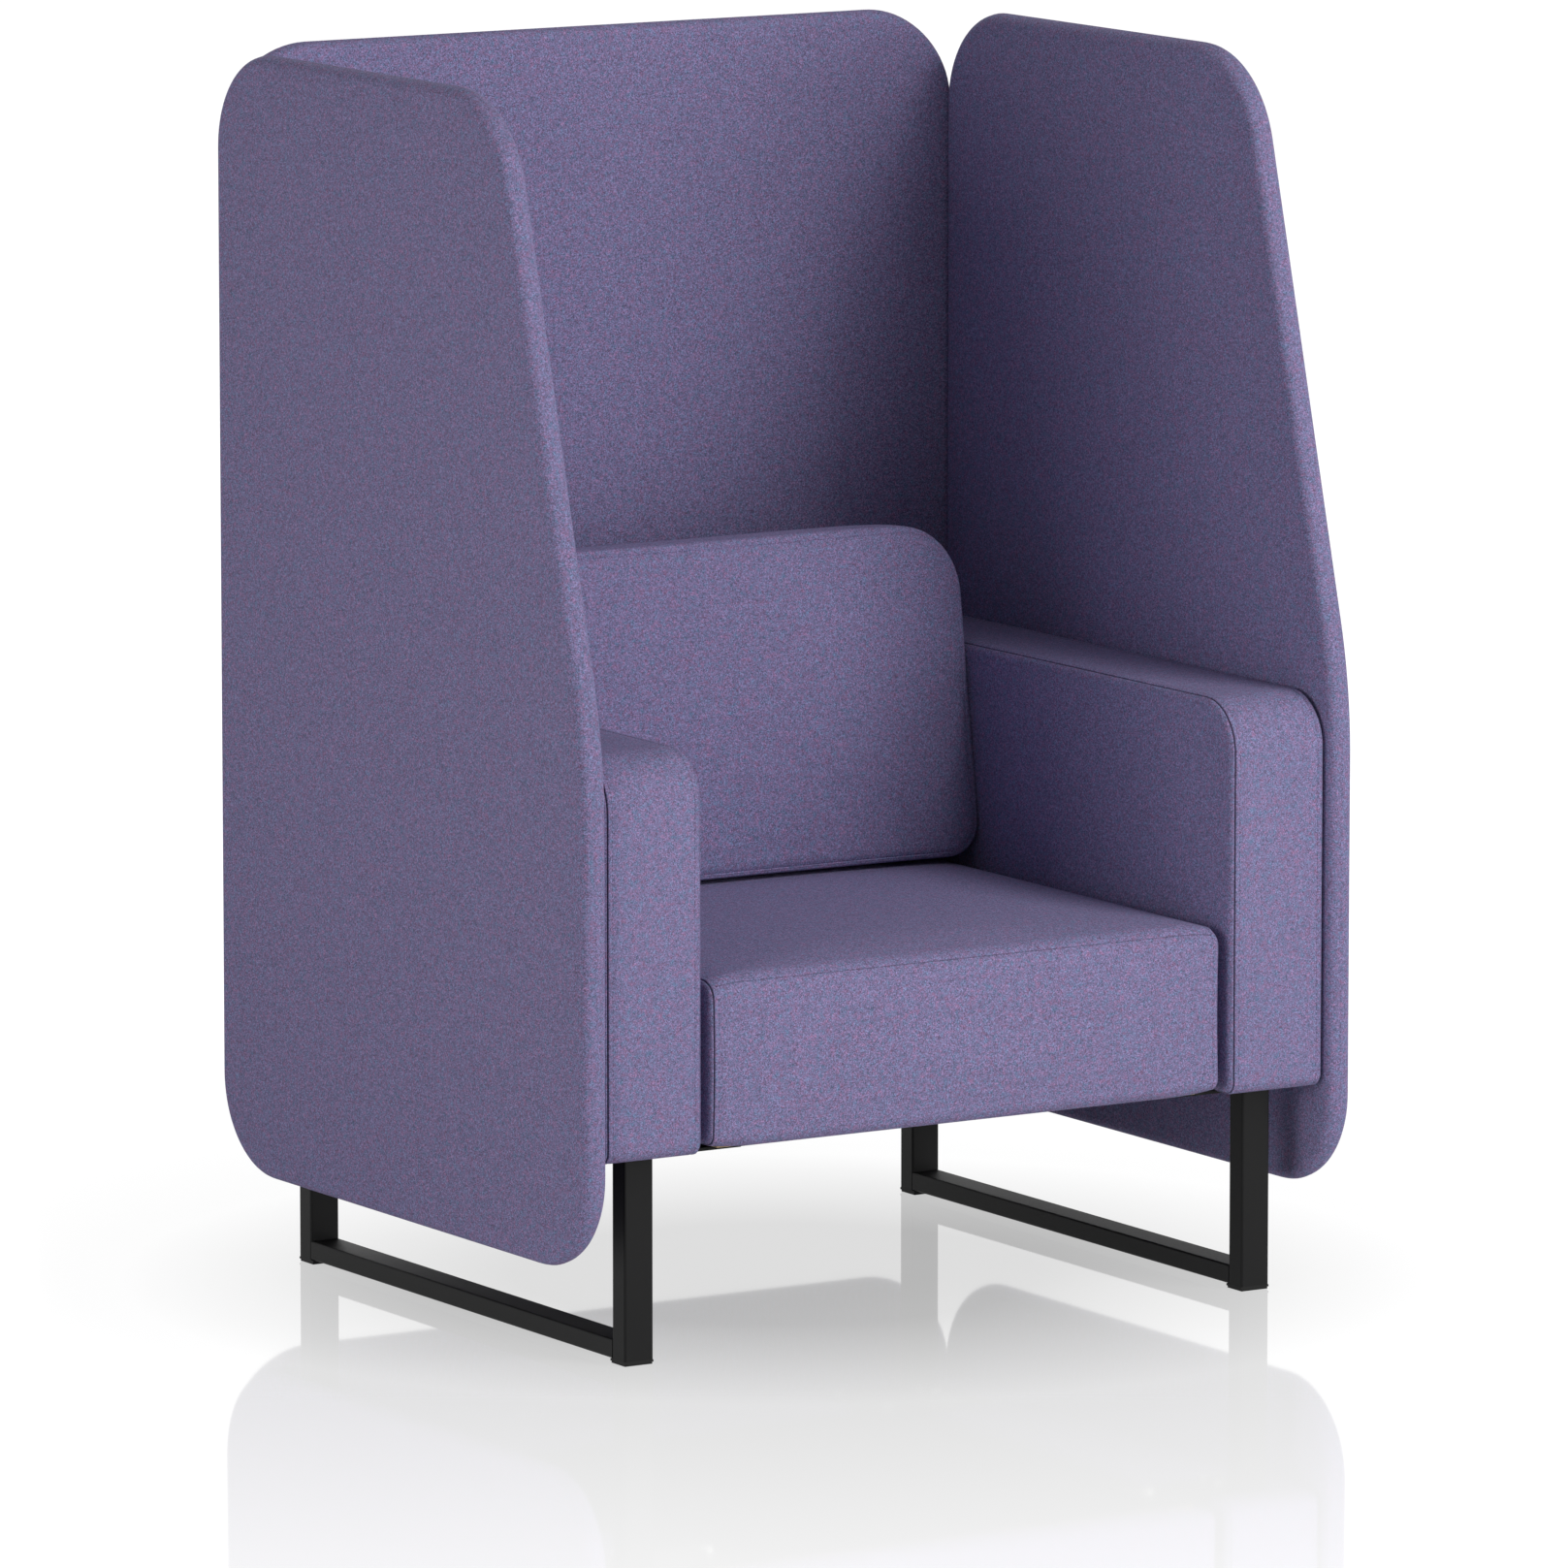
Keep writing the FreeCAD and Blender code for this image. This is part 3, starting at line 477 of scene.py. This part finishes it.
def stitch_row(path):
    """Points and faces of separate stitches of thread along an open path."""
    path = np.array(path)
    lengths = np.concatenate([[0], np.cumsum(np.linalg.norm(np.diff(path, axis=0), axis=1))])
    points, faces = [], []
    sides = STITCH_SIDES
    last = len(STITCH_STATIONS) - 1
    for start in np.arange(0, lengths[-1] - STITCH_LENGTH, STITCH_LENGTH + STITCH_GAP):
        spots = [
            np.array([np.interp(start + t * STITCH_LENGTH, lengths, path[:, k]) for k in range(3)])
            for t, girth in STITCH_STATIONS
        ]
        along = spots[-1] - spots[0]
        along /= np.linalg.norm(along)
        aside = np.cross(along, OFF_AXIS)
        aside /= np.linalg.norm(aside)
        up = np.cross(along, aside)
        first = len(points)
        for spot, (t, girth) in zip(spots, STITCH_STATIONS):
            for turn in np.arange(sides) * 2 * np.pi / sides:
                points.append(spot + STITCH_RADIUS * girth * (cos(turn) * aside + sin(turn) * up))
        for ring in range(last):
            for k in range(sides):
                a, b = first + ring * sides + k, first + ring * sides + (k + 1) % sides
                faces.append((a, b, b + sides, a + sides))
        faces.append(tuple(first + k for k in reversed(range(sides))))
        faces.append(tuple(first + last * sides + k for k in range(sides)))
    return points, faces


def stitching(name, paths):
    """One piece with the stitches along all of the paths."""
    points, faces = [], []
    for path in paths:
        row_points, row_faces = stitch_row(path)
        faces += [tuple(len(points) + k for k in face) for face in row_faces]
        points += row_points
    finish_piece(object_from(name, points, faces), THREAD_AND_SEAM_SHADE, "upholstery")


def band_profile(width, edge, puff, spacing):
    """(x from one side, inset, share, kind) of the rings from a side panel's middle over the band.

    The side panel rolls over the edge, and is sewn to the band where the roll ends.
    """
    border = edge + ROLL_BORDER
    rings = [(-puff * (1 - share ** 2), border, share, "side") for share in reversed(FLANK_SHARES)]
    rings.append((0.0, border, 1, "side"))
    for turn in np.linspace(0, ROLL_TURN, ROLL_STEPS):
        rings.append((edge * (1 - cos(turn)), edge * (1 - sin(turn)), 1, "side"))
    seam = rings[-1][0] + SEAM_LEAD
    rings += [(seam + along * MM, depth * MM, 1, kind) for along, depth, kind in SEAM_SECTION]
    start = rings[-1][0]
    count = max(LEAST_BAND_RINGS, round((width / 2 - start) / spacing))
    rings += [(x, 0.0, 1, "band") for x in np.linspace(start, width / 2, count + 1)[1:]]
    return rings


def banded_block(name, corners, low, high, edge, puff, shape=None, spacing=BAND_SPACING):
    """A block from low to high along X, with a band sewn round its two side panels.

    Returns the piece, its rings in order from high to low, and each ring's kind.
    """
    points, normals = outline(corners)
    centre = points.mean(axis=0)
    half = []
    for x, inset, share, kind in band_profile(high - low, edge, puff, spacing):
        ring = points - normals * inset
        half.append((x, centre + (ring - centre) * share, kind))
    rings = [across_x(ring, high - x) for x, ring, kind in half]
    rings += [across_x(ring, low + x) for x, ring, kind in reversed(half[:-1])]
    kinds = [kind for x, ring, kind in half]
    kinds += kinds[-2::-1]
    if shape:
        rings = [shape(ring) for ring in rings]
    piece = loft(name, rings)
    # loft adds its faces point by point round the outline, each time from fan to fan
    step = len(rings) + 1
    # The faces inside each seam groove take the second material, which paints shade into the groove
    for i in range(len(rings) - 1):
        if kinds[i] == kinds[i + 1] == "seam":
            for j in range(RING_POINTS):
                piece.data.polygons[j * step + 1 + i].material_index = 1
    return piece, rings, kinds


def stitched_stretch(rings, kinds, front, top):
    """The stitch rows' paths along a block, where they lie in front of front or above top."""
    paths = []
    for ring, kind in zip(rings, kinds):
        if kind == "stitch":
            wanted = np.flatnonzero((ring[:, 1] < front) | (ring[:, 2] > top))
            breaks = np.flatnonzero(np.diff(wanted) > 1)
            start = (breaks[0] + 1) if len(breaks) else 0
            paths.append(ring[np.roll(wanted, -start)])
    return paths


ARM_NOSE, ARM_CORNER = 60 * MM, 14 * MM
ARM_EDGE = 10 * MM                  # radius of the roll over an arm's or the backrest's edges
ARM_PUFF = 0.4 * MM                 # swell of an arm's side panels
UNDER = 0.6 * MM                    # fabric under the plywood
STITCH_REACH = 30 * MM              # stitch rows run this near the front or the top of a block
for side in ("left", "right"):
    low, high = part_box(f"{side}_arm_cover")
    bottom = low.z - UNDER
    corners = [
        (low.y, bottom, ARM_CORNER),
        (high.y, bottom, ARM_CORNER),
        (high.y, high.z, ARM_CORNER),
        (low.y, high.z, ARM_NOSE),
    ]
    name = f"{side}_arm_upholstery"
    piece, rings, kinds = banded_block(name, corners, low.x, high.x, ARM_EDGE, ARM_PUFF)
    finish_piece(piece, FABRIC, "upholstery", f"{side}_arm_cover", padded=FIRM)
    rows = stitched_stretch(rings, kinds, low.y + STITCH_REACH, high.z - STITCH_REACH)
    stitching(f"{side}_arm_stitching", rows)

low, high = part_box("backrest_cover")
bottom = low.z - UNDER
corners = [
    (low.y, bottom, ARM_CORNER),
    (high.y, bottom, ARM_CORNER),
    (high.y, high.z, ARM_CORNER),
    (low.y, high.z, ARM_CORNER),
]
piece = banded_block("backrest_upholstery", corners, low.x, high.x, ARM_EDGE, 0.0)[0]
finish_piece(piece, FABRIC, "upholstery", "backrest_cover", padded=FIRM)

# Seat: a band with a seam along its top front edge, swollen by a cloth simulation

SEAT_TOP_CORNER, SEAT_LOW_CORNER = 24 * MM, 14 * MM
SEAT_EDGE = 10 * MM                 # radius of the roll over the seat's edges
SEAT_SPACING = 9 * MM               # between the rings of its band
SEAT_PUFF = 0.5 * MM                # swell of the seat's side panels
SEAT_CROWN = 8 * MM                 # the cushion's highest point above the rim of its top
CROWN_SHARE = 0.8                   # part of the crown that is there before the cloth swells
CROWN_POWER = 2.6                   # how late the top falls off towards its rim
SEAT_WAIST = 2 * MM                 # how far its sides draw in between their corners
SEAT_DROOP = 6 * MM                 # fall of the top at the seat's two ends
DROOP_START = 0.86                  # share of half the width where that fall starts
SEAT_EAR_LIFT = 5 * MM              # rise of the lower edge at the seat's two ends
EAR_START = 0.8                     # share of half the width where that rise starts
TOP_POWER, LOW_POWER, END_POWER = 8, 4, 8   # how close those forms keep to the top, the foot and the ends
SEAM_DROP = 8 * MM                  # seat's front seam below the edge of its top
# Radius of the dark cord that paints shade along the front seam, and the width and depth of the seam's
# groove
SEAM_SHADE_CORD_RADIUS, FRONT_SEAM_WIDTH, FRONT_SEAM_DEPTH = 0.6 * MM, 2.6 * MM, 1.6 * MM
FRONT_SHARE = 0.9                   # share of half the depth beyond which a point is on the front
FRONT_HOLD = 20 * MM                # how far behind the front the cloth is held along that seam
FOOT_HOLD = 4 * MM                  # how far above the seat's foot the cloth is held
BEHIND_HOLD = 5 * MM                # how far before the back cushion the held part of the seat starts
SEAT_STITCH_DROP = 20 * MM          # stitch rows run this far down from the rim
SEAT_SWELL = 6 * MM                 # the most that the cloth may move out
CLOTH_PRESSURE = 4.0
CLOTH_FRAMES = 20
CLOTH_EVENING = 80                  # passes that even out the swelling


def point_kinds(kinds):
    """The kind of each point of a loft, from the kinds of its rings."""
    return np.repeat(kinds[:1] + kinds + kinds[-1:], [1] + [RING_POINTS] * len(kinds) + [1])


def swell(piece, pinned, cap):
    """Inflate a loft with Cloth, cap how far its points move, and even that out.

    The pinned points stay where they are. Returns all points, also where the cloth is skipped.
    """
    mesh = piece.data
    count = len(mesh.vertices)
    before = np.empty(count * 3)
    mesh.vertices.foreach_get("co", before)
    before = before.reshape(-1, 3)
    double = bpy.data.objects.new(f"{piece.name}_cloth", mesh.copy())
    bpy.context.scene.collection.objects.link(double)
    hold = double.vertex_groups.new(name="hold")
    hold.add([int(k) for k in np.flatnonzero(pinned)], 1.0, "REPLACE")
    cloth = double.modifiers.new("swell", "CLOTH")
    cloth.settings.quality = 4
    cloth.settings.mass = 0.4
    cloth.settings.tension_stiffness = 12
    cloth.settings.compression_stiffness = 12
    cloth.settings.shear_stiffness = 6
    cloth.settings.bending_stiffness = 1.5
    cloth.settings.air_damping = 4
    cloth.settings.vertex_group_mass = "hold"
    cloth.settings.use_pressure = True
    cloth.settings.uniform_pressure_force = CLOTH_PRESSURE
    cloth.settings.effector_weights.gravity = 0
    cloth.point_cache.frame_end = CLOTH_FRAMES
    for step in range(1, CLOTH_FRAMES + 1):
        bpy.context.scene.frame_set(step)
    shot = double.evaluated_get(bpy.context.evaluated_depsgraph_get()).to_mesh()
    after = np.empty(count * 3)
    shot.vertices.foreach_get("co", after)
    move = after.reshape(-1, 3) - before
    size = np.linalg.norm(move, axis=1)[:, None]
    move *= cap * np.tanh(size / cap) / np.maximum(size, TINY)
    free = ~pinned[1:-1].reshape(-1, RING_POINTS, 1)
    rows = move[1:-1].reshape(-1, RING_POINTS, 3)
    # Each pass takes half of a point's own move and an eighth of each of its four neighbours'
    for step in range(CLOTH_EVENING):
        around = np.roll(rows, 1, axis=1) + np.roll(rows, -1, axis=1)
        beside = np.concatenate([rows[:1], rows[:-1]]) + np.concatenate([rows[1:], rows[-1:]])
        rows = free * (0.5 * rows + 0.125 * (around + beside))
    move[1:-1] = rows.reshape(-1, 3)
    move[0], move[-1] = rows[0].mean(axis=0), rows[-1].mean(axis=0)
    bpy.context.scene.frame_set(1)
    bpy.data.objects.remove(double)
    mesh.vertices.foreach_set("co", (before + move).ravel())
    mesh.update()
    return before + move


low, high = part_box("seat_cushion")
seat_middle, seat_half = (low + high) / 2, (high - low) / 2
seat_rim = high.z - SEAT_CROWN
front_seam = seat_rim - SEAM_DROP


def past(share, start):
    """0 up to the start, then a curve that is 1 at the end."""
    return np.clip((np.abs(share) - start) / (1 - start), 0, 1) ** 2


def seat_shape(ring):
    """Crown the top, bend its ends down and the foot's ends up, and shape the sides and the front seam."""
    ring = ring.copy()
    u = (ring[:, 0] - seat_middle.x) / seat_half.x
    v = (ring[:, 1] - seat_middle.y) / seat_half.y
    rise = np.clip((ring[:, 2] - low.z) / (seat_rim - low.z), 0, 1)
    lift = (1 - np.abs(u) ** CROWN_POWER) * (1 - np.abs(v) ** CROWN_POWER)
    ring[:, 2] += SEAT_CROWN * CROWN_SHARE * lift * rise ** TOP_POWER
    ring[:, 2] += SEAT_EAR_LIFT * past(u, EAR_START) * (1 - rise) ** LOW_POWER
    ring[:, 2] -= SEAT_DROOP * past(u, DROOP_START) * rise ** TOP_POWER
    waist = 1 - ((ring[:, 2] - seat_middle.z) / seat_half.z) ** 2
    ring[:, 0] -= np.sign(u) * SEAT_WAIST * np.clip(waist, 0, 1) * np.abs(u) ** END_POWER
    gap = np.abs(ring[:, 2] - front_seam)
    groove = np.where(v < -FRONT_SHARE, np.clip(1 - gap / FRONT_SEAM_WIDTH, 0, 1), 0)
    ring[:, 1] += FRONT_SEAM_DEPTH * groove
    return ring


corners = [
    (low.y, low.z, SEAT_LOW_CORNER),
    (high.y, low.z, SEAT_LOW_CORNER),
    (high.y, seat_rim, SEAT_TOP_CORNER),
    (low.y, seat_rim, SEAT_TOP_CORNER),
]
piece, rings, kinds = banded_block(
    "seat_upholstery", corners, low.x, high.x, SEAT_EDGE, SEAT_PUFF, seat_shape, SEAT_SPACING
)
points = loft_points(rings)
pinned = np.isin(point_kinds(kinds), ("side", "seam", "edge", "stitch"))
pinned |= points[:, 2] < low.z + FOOT_HOLD
pinned |= points[:, 1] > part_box("back_cushion")[0].y - BEHIND_HOLD
pinned |= (np.abs(points[:, 2] - front_seam) < FRONT_SEAM_WIDTH) & (points[:, 1] < low.y + FRONT_HOLD)
points = swell(piece, pinned, SEAT_SWELL)
rings = list(points[1:-1].reshape(len(rings), -1, 3))
finish_piece(piece, FABRIC, "upholstery", "seat_cushion", padded=SEAT_FILL)
rows = stitched_stretch(rings, kinds, low.y + STITCH_REACH, seat_rim - SEAT_STITCH_DROP)
stitching("seat_stitching", rows)
middle_ring = rings[len(rings) // 2]
off_seam = np.abs(middle_ring[:, 2] - front_seam)
off_seam[middle_ring[:, 1] > seat_middle.y] = np.inf
seam_spot = int(np.argmin(off_seam))
seam_path = [ring[seam_spot] for ring, kind in zip(rings, kinds) if kind in ("band", "stitch")]
# A thin cord of the darker thread wool lies along the front seam: painted shade that draws the seam's line
finish_piece(sweep("seat_front_seam_shade", seam_path, SEAM_SHADE_CORD_RADIUS), THREAD_AND_SEAM_SHADE, "upholstery")

# Black mouldings that close the gaps between the seat and the arms from below

STRIP_LOW, STRIP_HIGH, STRIP_ROUND = 245 * MM, 248 * MM, 1.2 * MM
STRIP_HOLD = 8 * MM                 # reach into the seat
STRIP_LAP = 2 * MM                  # reach into the arm's cover
STRIP_FRONT, STRIP_REAR = 25 * MM, 10 * MM      # how far it stops short of the seat's front and rear
STRIP_POINTS, STRIP_STATIONS = 64, 24
for side in ("left", "right"):
    arm_low, arm_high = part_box(f"{side}_arm_cover")
    if side == "left":
        start, end = arm_high.x - STRIP_LAP, low.x + STRIP_HOLD
    else:
        start, end = high.x - STRIP_HOLD, arm_low.x + STRIP_LAP
    corners = [
        (start, STRIP_LOW, STRIP_ROUND),
        (end, STRIP_LOW, STRIP_ROUND),
        (end, STRIP_HIGH, STRIP_ROUND),
        (start, STRIP_HIGH, STRIP_ROUND),
    ]
    section = outline(corners, STRIP_POINTS)[0]
    stations = np.linspace(low.y + STRIP_FRONT, high.y - STRIP_REAR, STRIP_STATIONS)
    piece = loft(f"{side}_gap_strip", [across_y(section, y) for y in stations])
    finish_piece(piece, MATERIALS["glide_plastic"], "glide_plastic")

# Back cushion: front and rear sewn to a boxing strip, swollen the same way

LOW_CORNER, HIGH_CORNER = 42 * MM, 80 * MM
FOOT_DEPTH, HEAD_DEPTH = 156 * MM, 100 * MM     # from rear to front at its foot and at its head
CUSHION_TILT = 12 * MM              # how far its head rises from rear to front
TILT_PIVOT = 2 / 3                  # part way from rear to front where the tilt moves nothing
CUSHION_CROWN = 14 * MM             # swell of the front in its middle, before the cloth
CUSHION_POWER = 3                   # how late that falls off towards the seam
CUSHION_DRAW = 1.5 * MM             # how far its sides draw in between their corners
FACE_SHARES = np.linspace(0.03, 0.97, 26)       # rings of the front
FACE_EDGE, SEAM_LIP = 2 * MM, 1 * MM            # last rings of the front inside its seam
SEAM_IN = 6 * MM                    # front seam inside the boxing's outline
SEAM_ALONG = 0.985                  # where it lies, part way from rear to front
LIP_ALONG = 0.997                   # where the front's last ring lies, in the same way
# The boxing behind the front seam: mm inside the outline, and part way from rear to front
BOXING_FRONT = ((4.6, 0.99), (2.4, 0.982), (0.8, 0.966), (0.0, 0.945))
BOXING_DEPTH = 0.9                  # share of the way that the boxing's flat part takes up
BOXING_STEPS = np.linspace(0.1, 0.9, 10)
BOXING_BULGE = 1.5 * MM
# The boxing's last ring and the rear seam, as above
BOXING_REAR, REAR_SEAM = (0.6, 0.03), (2.5, 0.012)
REAR_INSET = 7 * MM                 # edge of the rear face inside the boxing's outline
WELT = 1.9 * MM                     # radius of the welts
CUSHION_HOLD = 12 * MM              # how far above the cushion's foot the cloth is held
CUSHION_SWELL = 9 * MM              # the most that the cloth may move out
low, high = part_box("back_cushion")
foot, head = low.z, high.z - CUSHION_TILT * (1 - TILT_PIVOT)
middle = Vector(((low.x + high.x) / 2, (foot + head) / 2))
half = Vector(((high.x - low.x) / 2, (head - foot) / 2))
corners = [
    (low.x, foot, LOW_CORNER),
    (high.x, foot, LOW_CORNER),
    (high.x, head, HIGH_CORNER),
    (low.x, head, HIGH_CORNER),
]
cushion_outline, cushion_normals = outline(corners)


def cushion_ring(inset, share, along, crown):
    """A ring of the cushion: inset and shrunk in its outline, part way along to the front, and crowned."""
    ring = cushion_outline - cushion_normals * inset
    u, v = (ring[:, 0] - middle.x) / half.x, (ring[:, 1] - middle.y) / half.y
    ring = ring - cushion_normals * (CUSHION_DRAW * (1 - np.minimum(u ** 2, v ** 2)))[:, None]
    ring = np.array(middle) + (ring - np.array(middle)) * share
    height = (ring[:, 1] - foot) / (head - foot)
    depth = FOOT_DEPTH + (HEAD_DEPTH - FOOT_DEPTH) * height
    tilt = CUSHION_TILT * (along - TILT_PIVOT) * height
    u, v = (ring[:, 0] - middle.x) / half.x, (ring[:, 1] - middle.y) / half.y
    swollen = crown * (1 - np.abs(u) ** CUSHION_POWER) * (1 - np.abs(v) ** CUSHION_POWER)
    return np.column_stack([ring[:, 0], high.y - along * depth - swollen, ring[:, 1] + tilt])


# Each layer of the cushion: inset, share of the outline, part way from rear to front, crown and kind
layers = [(SEAM_IN + FACE_EDGE, share, 1, CUSHION_CROWN, "face") for share in FACE_SHARES]
layers.append((SEAM_IN + SEAM_LIP, 1, LIP_ALONG, 0.0, "face"))
layers.append((SEAM_IN, 1, SEAM_ALONG, 0.0, "seam"))
for inset, along in BOXING_FRONT:
    layers.append((inset * MM, 1, along, 0.0, "boxing"))
boxing_start = BOXING_FRONT[-1][1]
for t in BOXING_STEPS:
    layers.append((-BOXING_BULGE * sin(np.pi * t), 1, boxing_start - BOXING_DEPTH * t, 0.0, "boxing"))
for (inset, along), kind in ((BOXING_REAR, "boxing"), (REAR_SEAM, "seam")):
    layers.append((inset * MM, 1, along, 0.0, kind))
layers += [(REAR_INSET, share, 0.0, 0.0, "rear") for share in (1, *FLANK_SHARES)]
rings = [cushion_ring(*layer[:-1]) for layer in layers]
kinds = [layer[-1] for layer in layers]
piece = loft("back_cushion_upholstery", rings)
points = loft_points(rings)
pinned = np.isin(point_kinds(kinds), ("seam", "rear"))
pinned |= points[:, 2] < foot + CUSHION_HOLD
points = swell(piece, pinned, CUSHION_SWELL)
rings = list(points[1:-1].reshape(len(rings), -1, 3))
finish_piece(piece, FABRIC, "upholstery", "back_cushion", padded=CUSHION_FILL)
seam_rings = [ring for ring, kind in zip(rings, kinds) if kind == "seam"]
for name, ring in zip(("back_cushion_front_welt", "back_cushion_rear_welt"), seam_rings):
    finish_piece(sweep(name, ring, WELT, closed=True), FABRIC, "upholstery")

# Stage, light and camera

LAMP_SIZE, LAMP_DISTANCE, LAMP_AIM = 2.5, 6.5, 0.7      # in metres; the aim is a height above the floor
# Name, degrees to the viewer's right of straight in front, degrees up, and watts
LAMPS = (("key", 25, 42, 158), ("front", 25, 8, 138), ("side", -70, 8, 108), ("rear", 170, 12, 65))
AMBIENT = 0.16                      # light from all round on the object
FLOOR_HALF = 30.0
# From one distance from the middle of the booth to another, the floor's glow rises between two levels; the
# low glow near the booth is painted shade round its foot
FLOOR_GLOW_AND_PAINTED_SHADE = ((0.30, 0.75, 0.68, 1.04), (0.80, 2.60, 0.0, 0.30))
FLOOR_SHADOW = 0.12                 # grey of the matt part that takes the shadow
FLOOR_LIGHT = 0.8                   # grey that the rays lighting the object see
FLOOR_POLISH = 1.38                 # refractive index that sets the mirror image's strength


def soft_box(name, azimuth, elevation, power):
    """A square lamp aimed at the booth."""
    lamp = bpy.data.lights.new(name, "AREA")
    lamp.shape = "SQUARE"
    lamp.size = LAMP_SIZE
    lamp.energy = power
    turn, rise = radians(azimuth), radians(elevation)
    aim = Vector((0, 0, LAMP_AIM))
    spot = aim + LAMP_DISTANCE * Vector((sin(turn) * cos(rise), -cos(turn) * cos(rise), sin(rise)))
    holder = bpy.data.objects.new(name, lamp)
    holder.location = spot
    holder.rotation_euler = (aim - spot).to_track_quat("-Z", "Y").to_euler()
    bpy.context.scene.collection.objects.link(holder)


def seen_directly(nodes, links):
    """1 for camera, glossy and transmission rays, 0 for the rays that light the object."""
    path = nodes.new("ShaderNodeLightPath")
    total = None
    for ray in ("Is Camera Ray", "Is Glossy Ray", "Is Transmission Ray"):
        if total is None:
            total = path.outputs[ray]
            continue
        either = add(nodes, "ShaderNodeMath", operation="MAXIMUM")
        links.new(total, either.inputs[0])
        links.new(path.outputs[ray], either.inputs[1])
        total = either.outputs["Value"]
    return total


def stage_floor():
    """White floor: camera and mirror rays see it near white with a soft shadow from the lamps, painted
    shade where its glow dims near the booth, and a mirror image.
    """
    sides = ((-1, -1), (1, -1), (1, 1), (-1, 1))
    corners = [(x * FLOOR_HALF, y * FLOOR_HALF, 0) for x, y in sides]
    floor = object_from("floor", corners, [(0, 1, 2, 3)])
    material, nodes, links, principled = shader("pale_floor")
    principled.inputs["Base Color"].default_value = (FLOOR_LIGHT, FLOOR_LIGHT, FLOOR_LIGHT, 1)
    principled.inputs["Roughness"].default_value = 0.6
    matt = add(nodes, "ShaderNodeBsdfDiffuse", Color=(FLOOR_SHADOW, FLOOR_SHADOW, FLOOR_SHADOW, 1))
    glow = nodes.new("ShaderNodeEmission")
    place = nodes.new("ShaderNodeTexCoord")
    reach = add(nodes, "ShaderNodeVectorMath", operation="LENGTH")
    links.new(place.outputs["Object"], reach.inputs[0])
    total = add(nodes, "ShaderNodeMath", operation="ADD")
    # The glow is lowest near the middle of the booth, which paints shade under and round it
    for slot, (start, end, low_level, high_level) in enumerate(FLOOR_GLOW_AND_PAINTED_SHADE):
        level = nodes.new("ShaderNodeMapRange")
        links.new(reach.outputs["Value"], level.inputs["Value"])
        level.inputs["From Min"].default_value = start
        level.inputs["From Max"].default_value = end
        level.inputs["To Min"].default_value = low_level
        level.inputs["To Max"].default_value = high_level
        links.new(level.outputs["Result"], total.inputs[slot])
    links.new(total.outputs["Value"], glow.inputs["Strength"])
    mirror = add(nodes, "ShaderNodeBsdfGlossy", Roughness=0.04)
    shown = nodes.new("ShaderNodeAddShader")
    links.new(matt.outputs["BSDF"], shown.inputs[0])
    links.new(glow.outputs["Emission"], shown.inputs[1])
    polish = add(nodes, "ShaderNodeFresnel", IOR=FLOOR_POLISH)
    glazed = nodes.new("ShaderNodeMixShader")
    links.new(polish.outputs["Fac"], glazed.inputs["Fac"])
    links.new(shown.outputs["Shader"], glazed.inputs[1])
    links.new(mirror.outputs["BSDF"], glazed.inputs[2])
    choice = nodes.new("ShaderNodeMixShader")
    links.new(seen_directly(nodes, links), choice.inputs["Fac"])
    links.new(principled.outputs["BSDF"], choice.inputs[1])
    links.new(glazed.outputs["Shader"], choice.inputs[2])
    links.new(choice.outputs["Shader"], nodes["Material Output"].inputs["Surface"])
    floor.data.materials.append(material)


def white_world():
    """White where the camera or a mirror sees it, and dim even light on the object."""
    world = bpy.data.worlds.new("studio")
    bpy.context.scene.world = world
    world.use_nodes = True
    nodes, links = world.node_tree.nodes, world.node_tree.links
    background = nodes["Background"]
    background.inputs["Color"].default_value = (1, 1, 1, 1)
    strength = nodes.new("ShaderNodeMapRange")
    links.new(seen_directly(nodes, links), strength.inputs["Value"])
    strength.inputs["To Min"].default_value = AMBIENT
    strength.inputs["To Max"].default_value = 1.0
    links.new(strength.outputs["Result"], background.inputs["Strength"])


stage_floor()
white_world()
for name, azimuth, elevation, power in LAMPS:
    soft_box(name, azimuth, elevation, power)

camera = bpy.data.cameras.new("camera")
camera.lens = LENS
camera.sensor_width = SENSOR
holder = bpy.data.objects.new("camera", camera)
forward = Vector((sin(AZIMUTH) * cos(PITCH), cos(AZIMUTH) * cos(PITCH), -sin(PITCH)))
holder.location = TARGET - forward * DISTANCE
holder.rotation_euler = forward.to_track_quat("-Z", "Y").to_euler()
bpy.context.scene.collection.objects.link(holder)
bpy.context.scene.camera = holder
bpy.context.scene.view_settings.view_transform = "Standard"
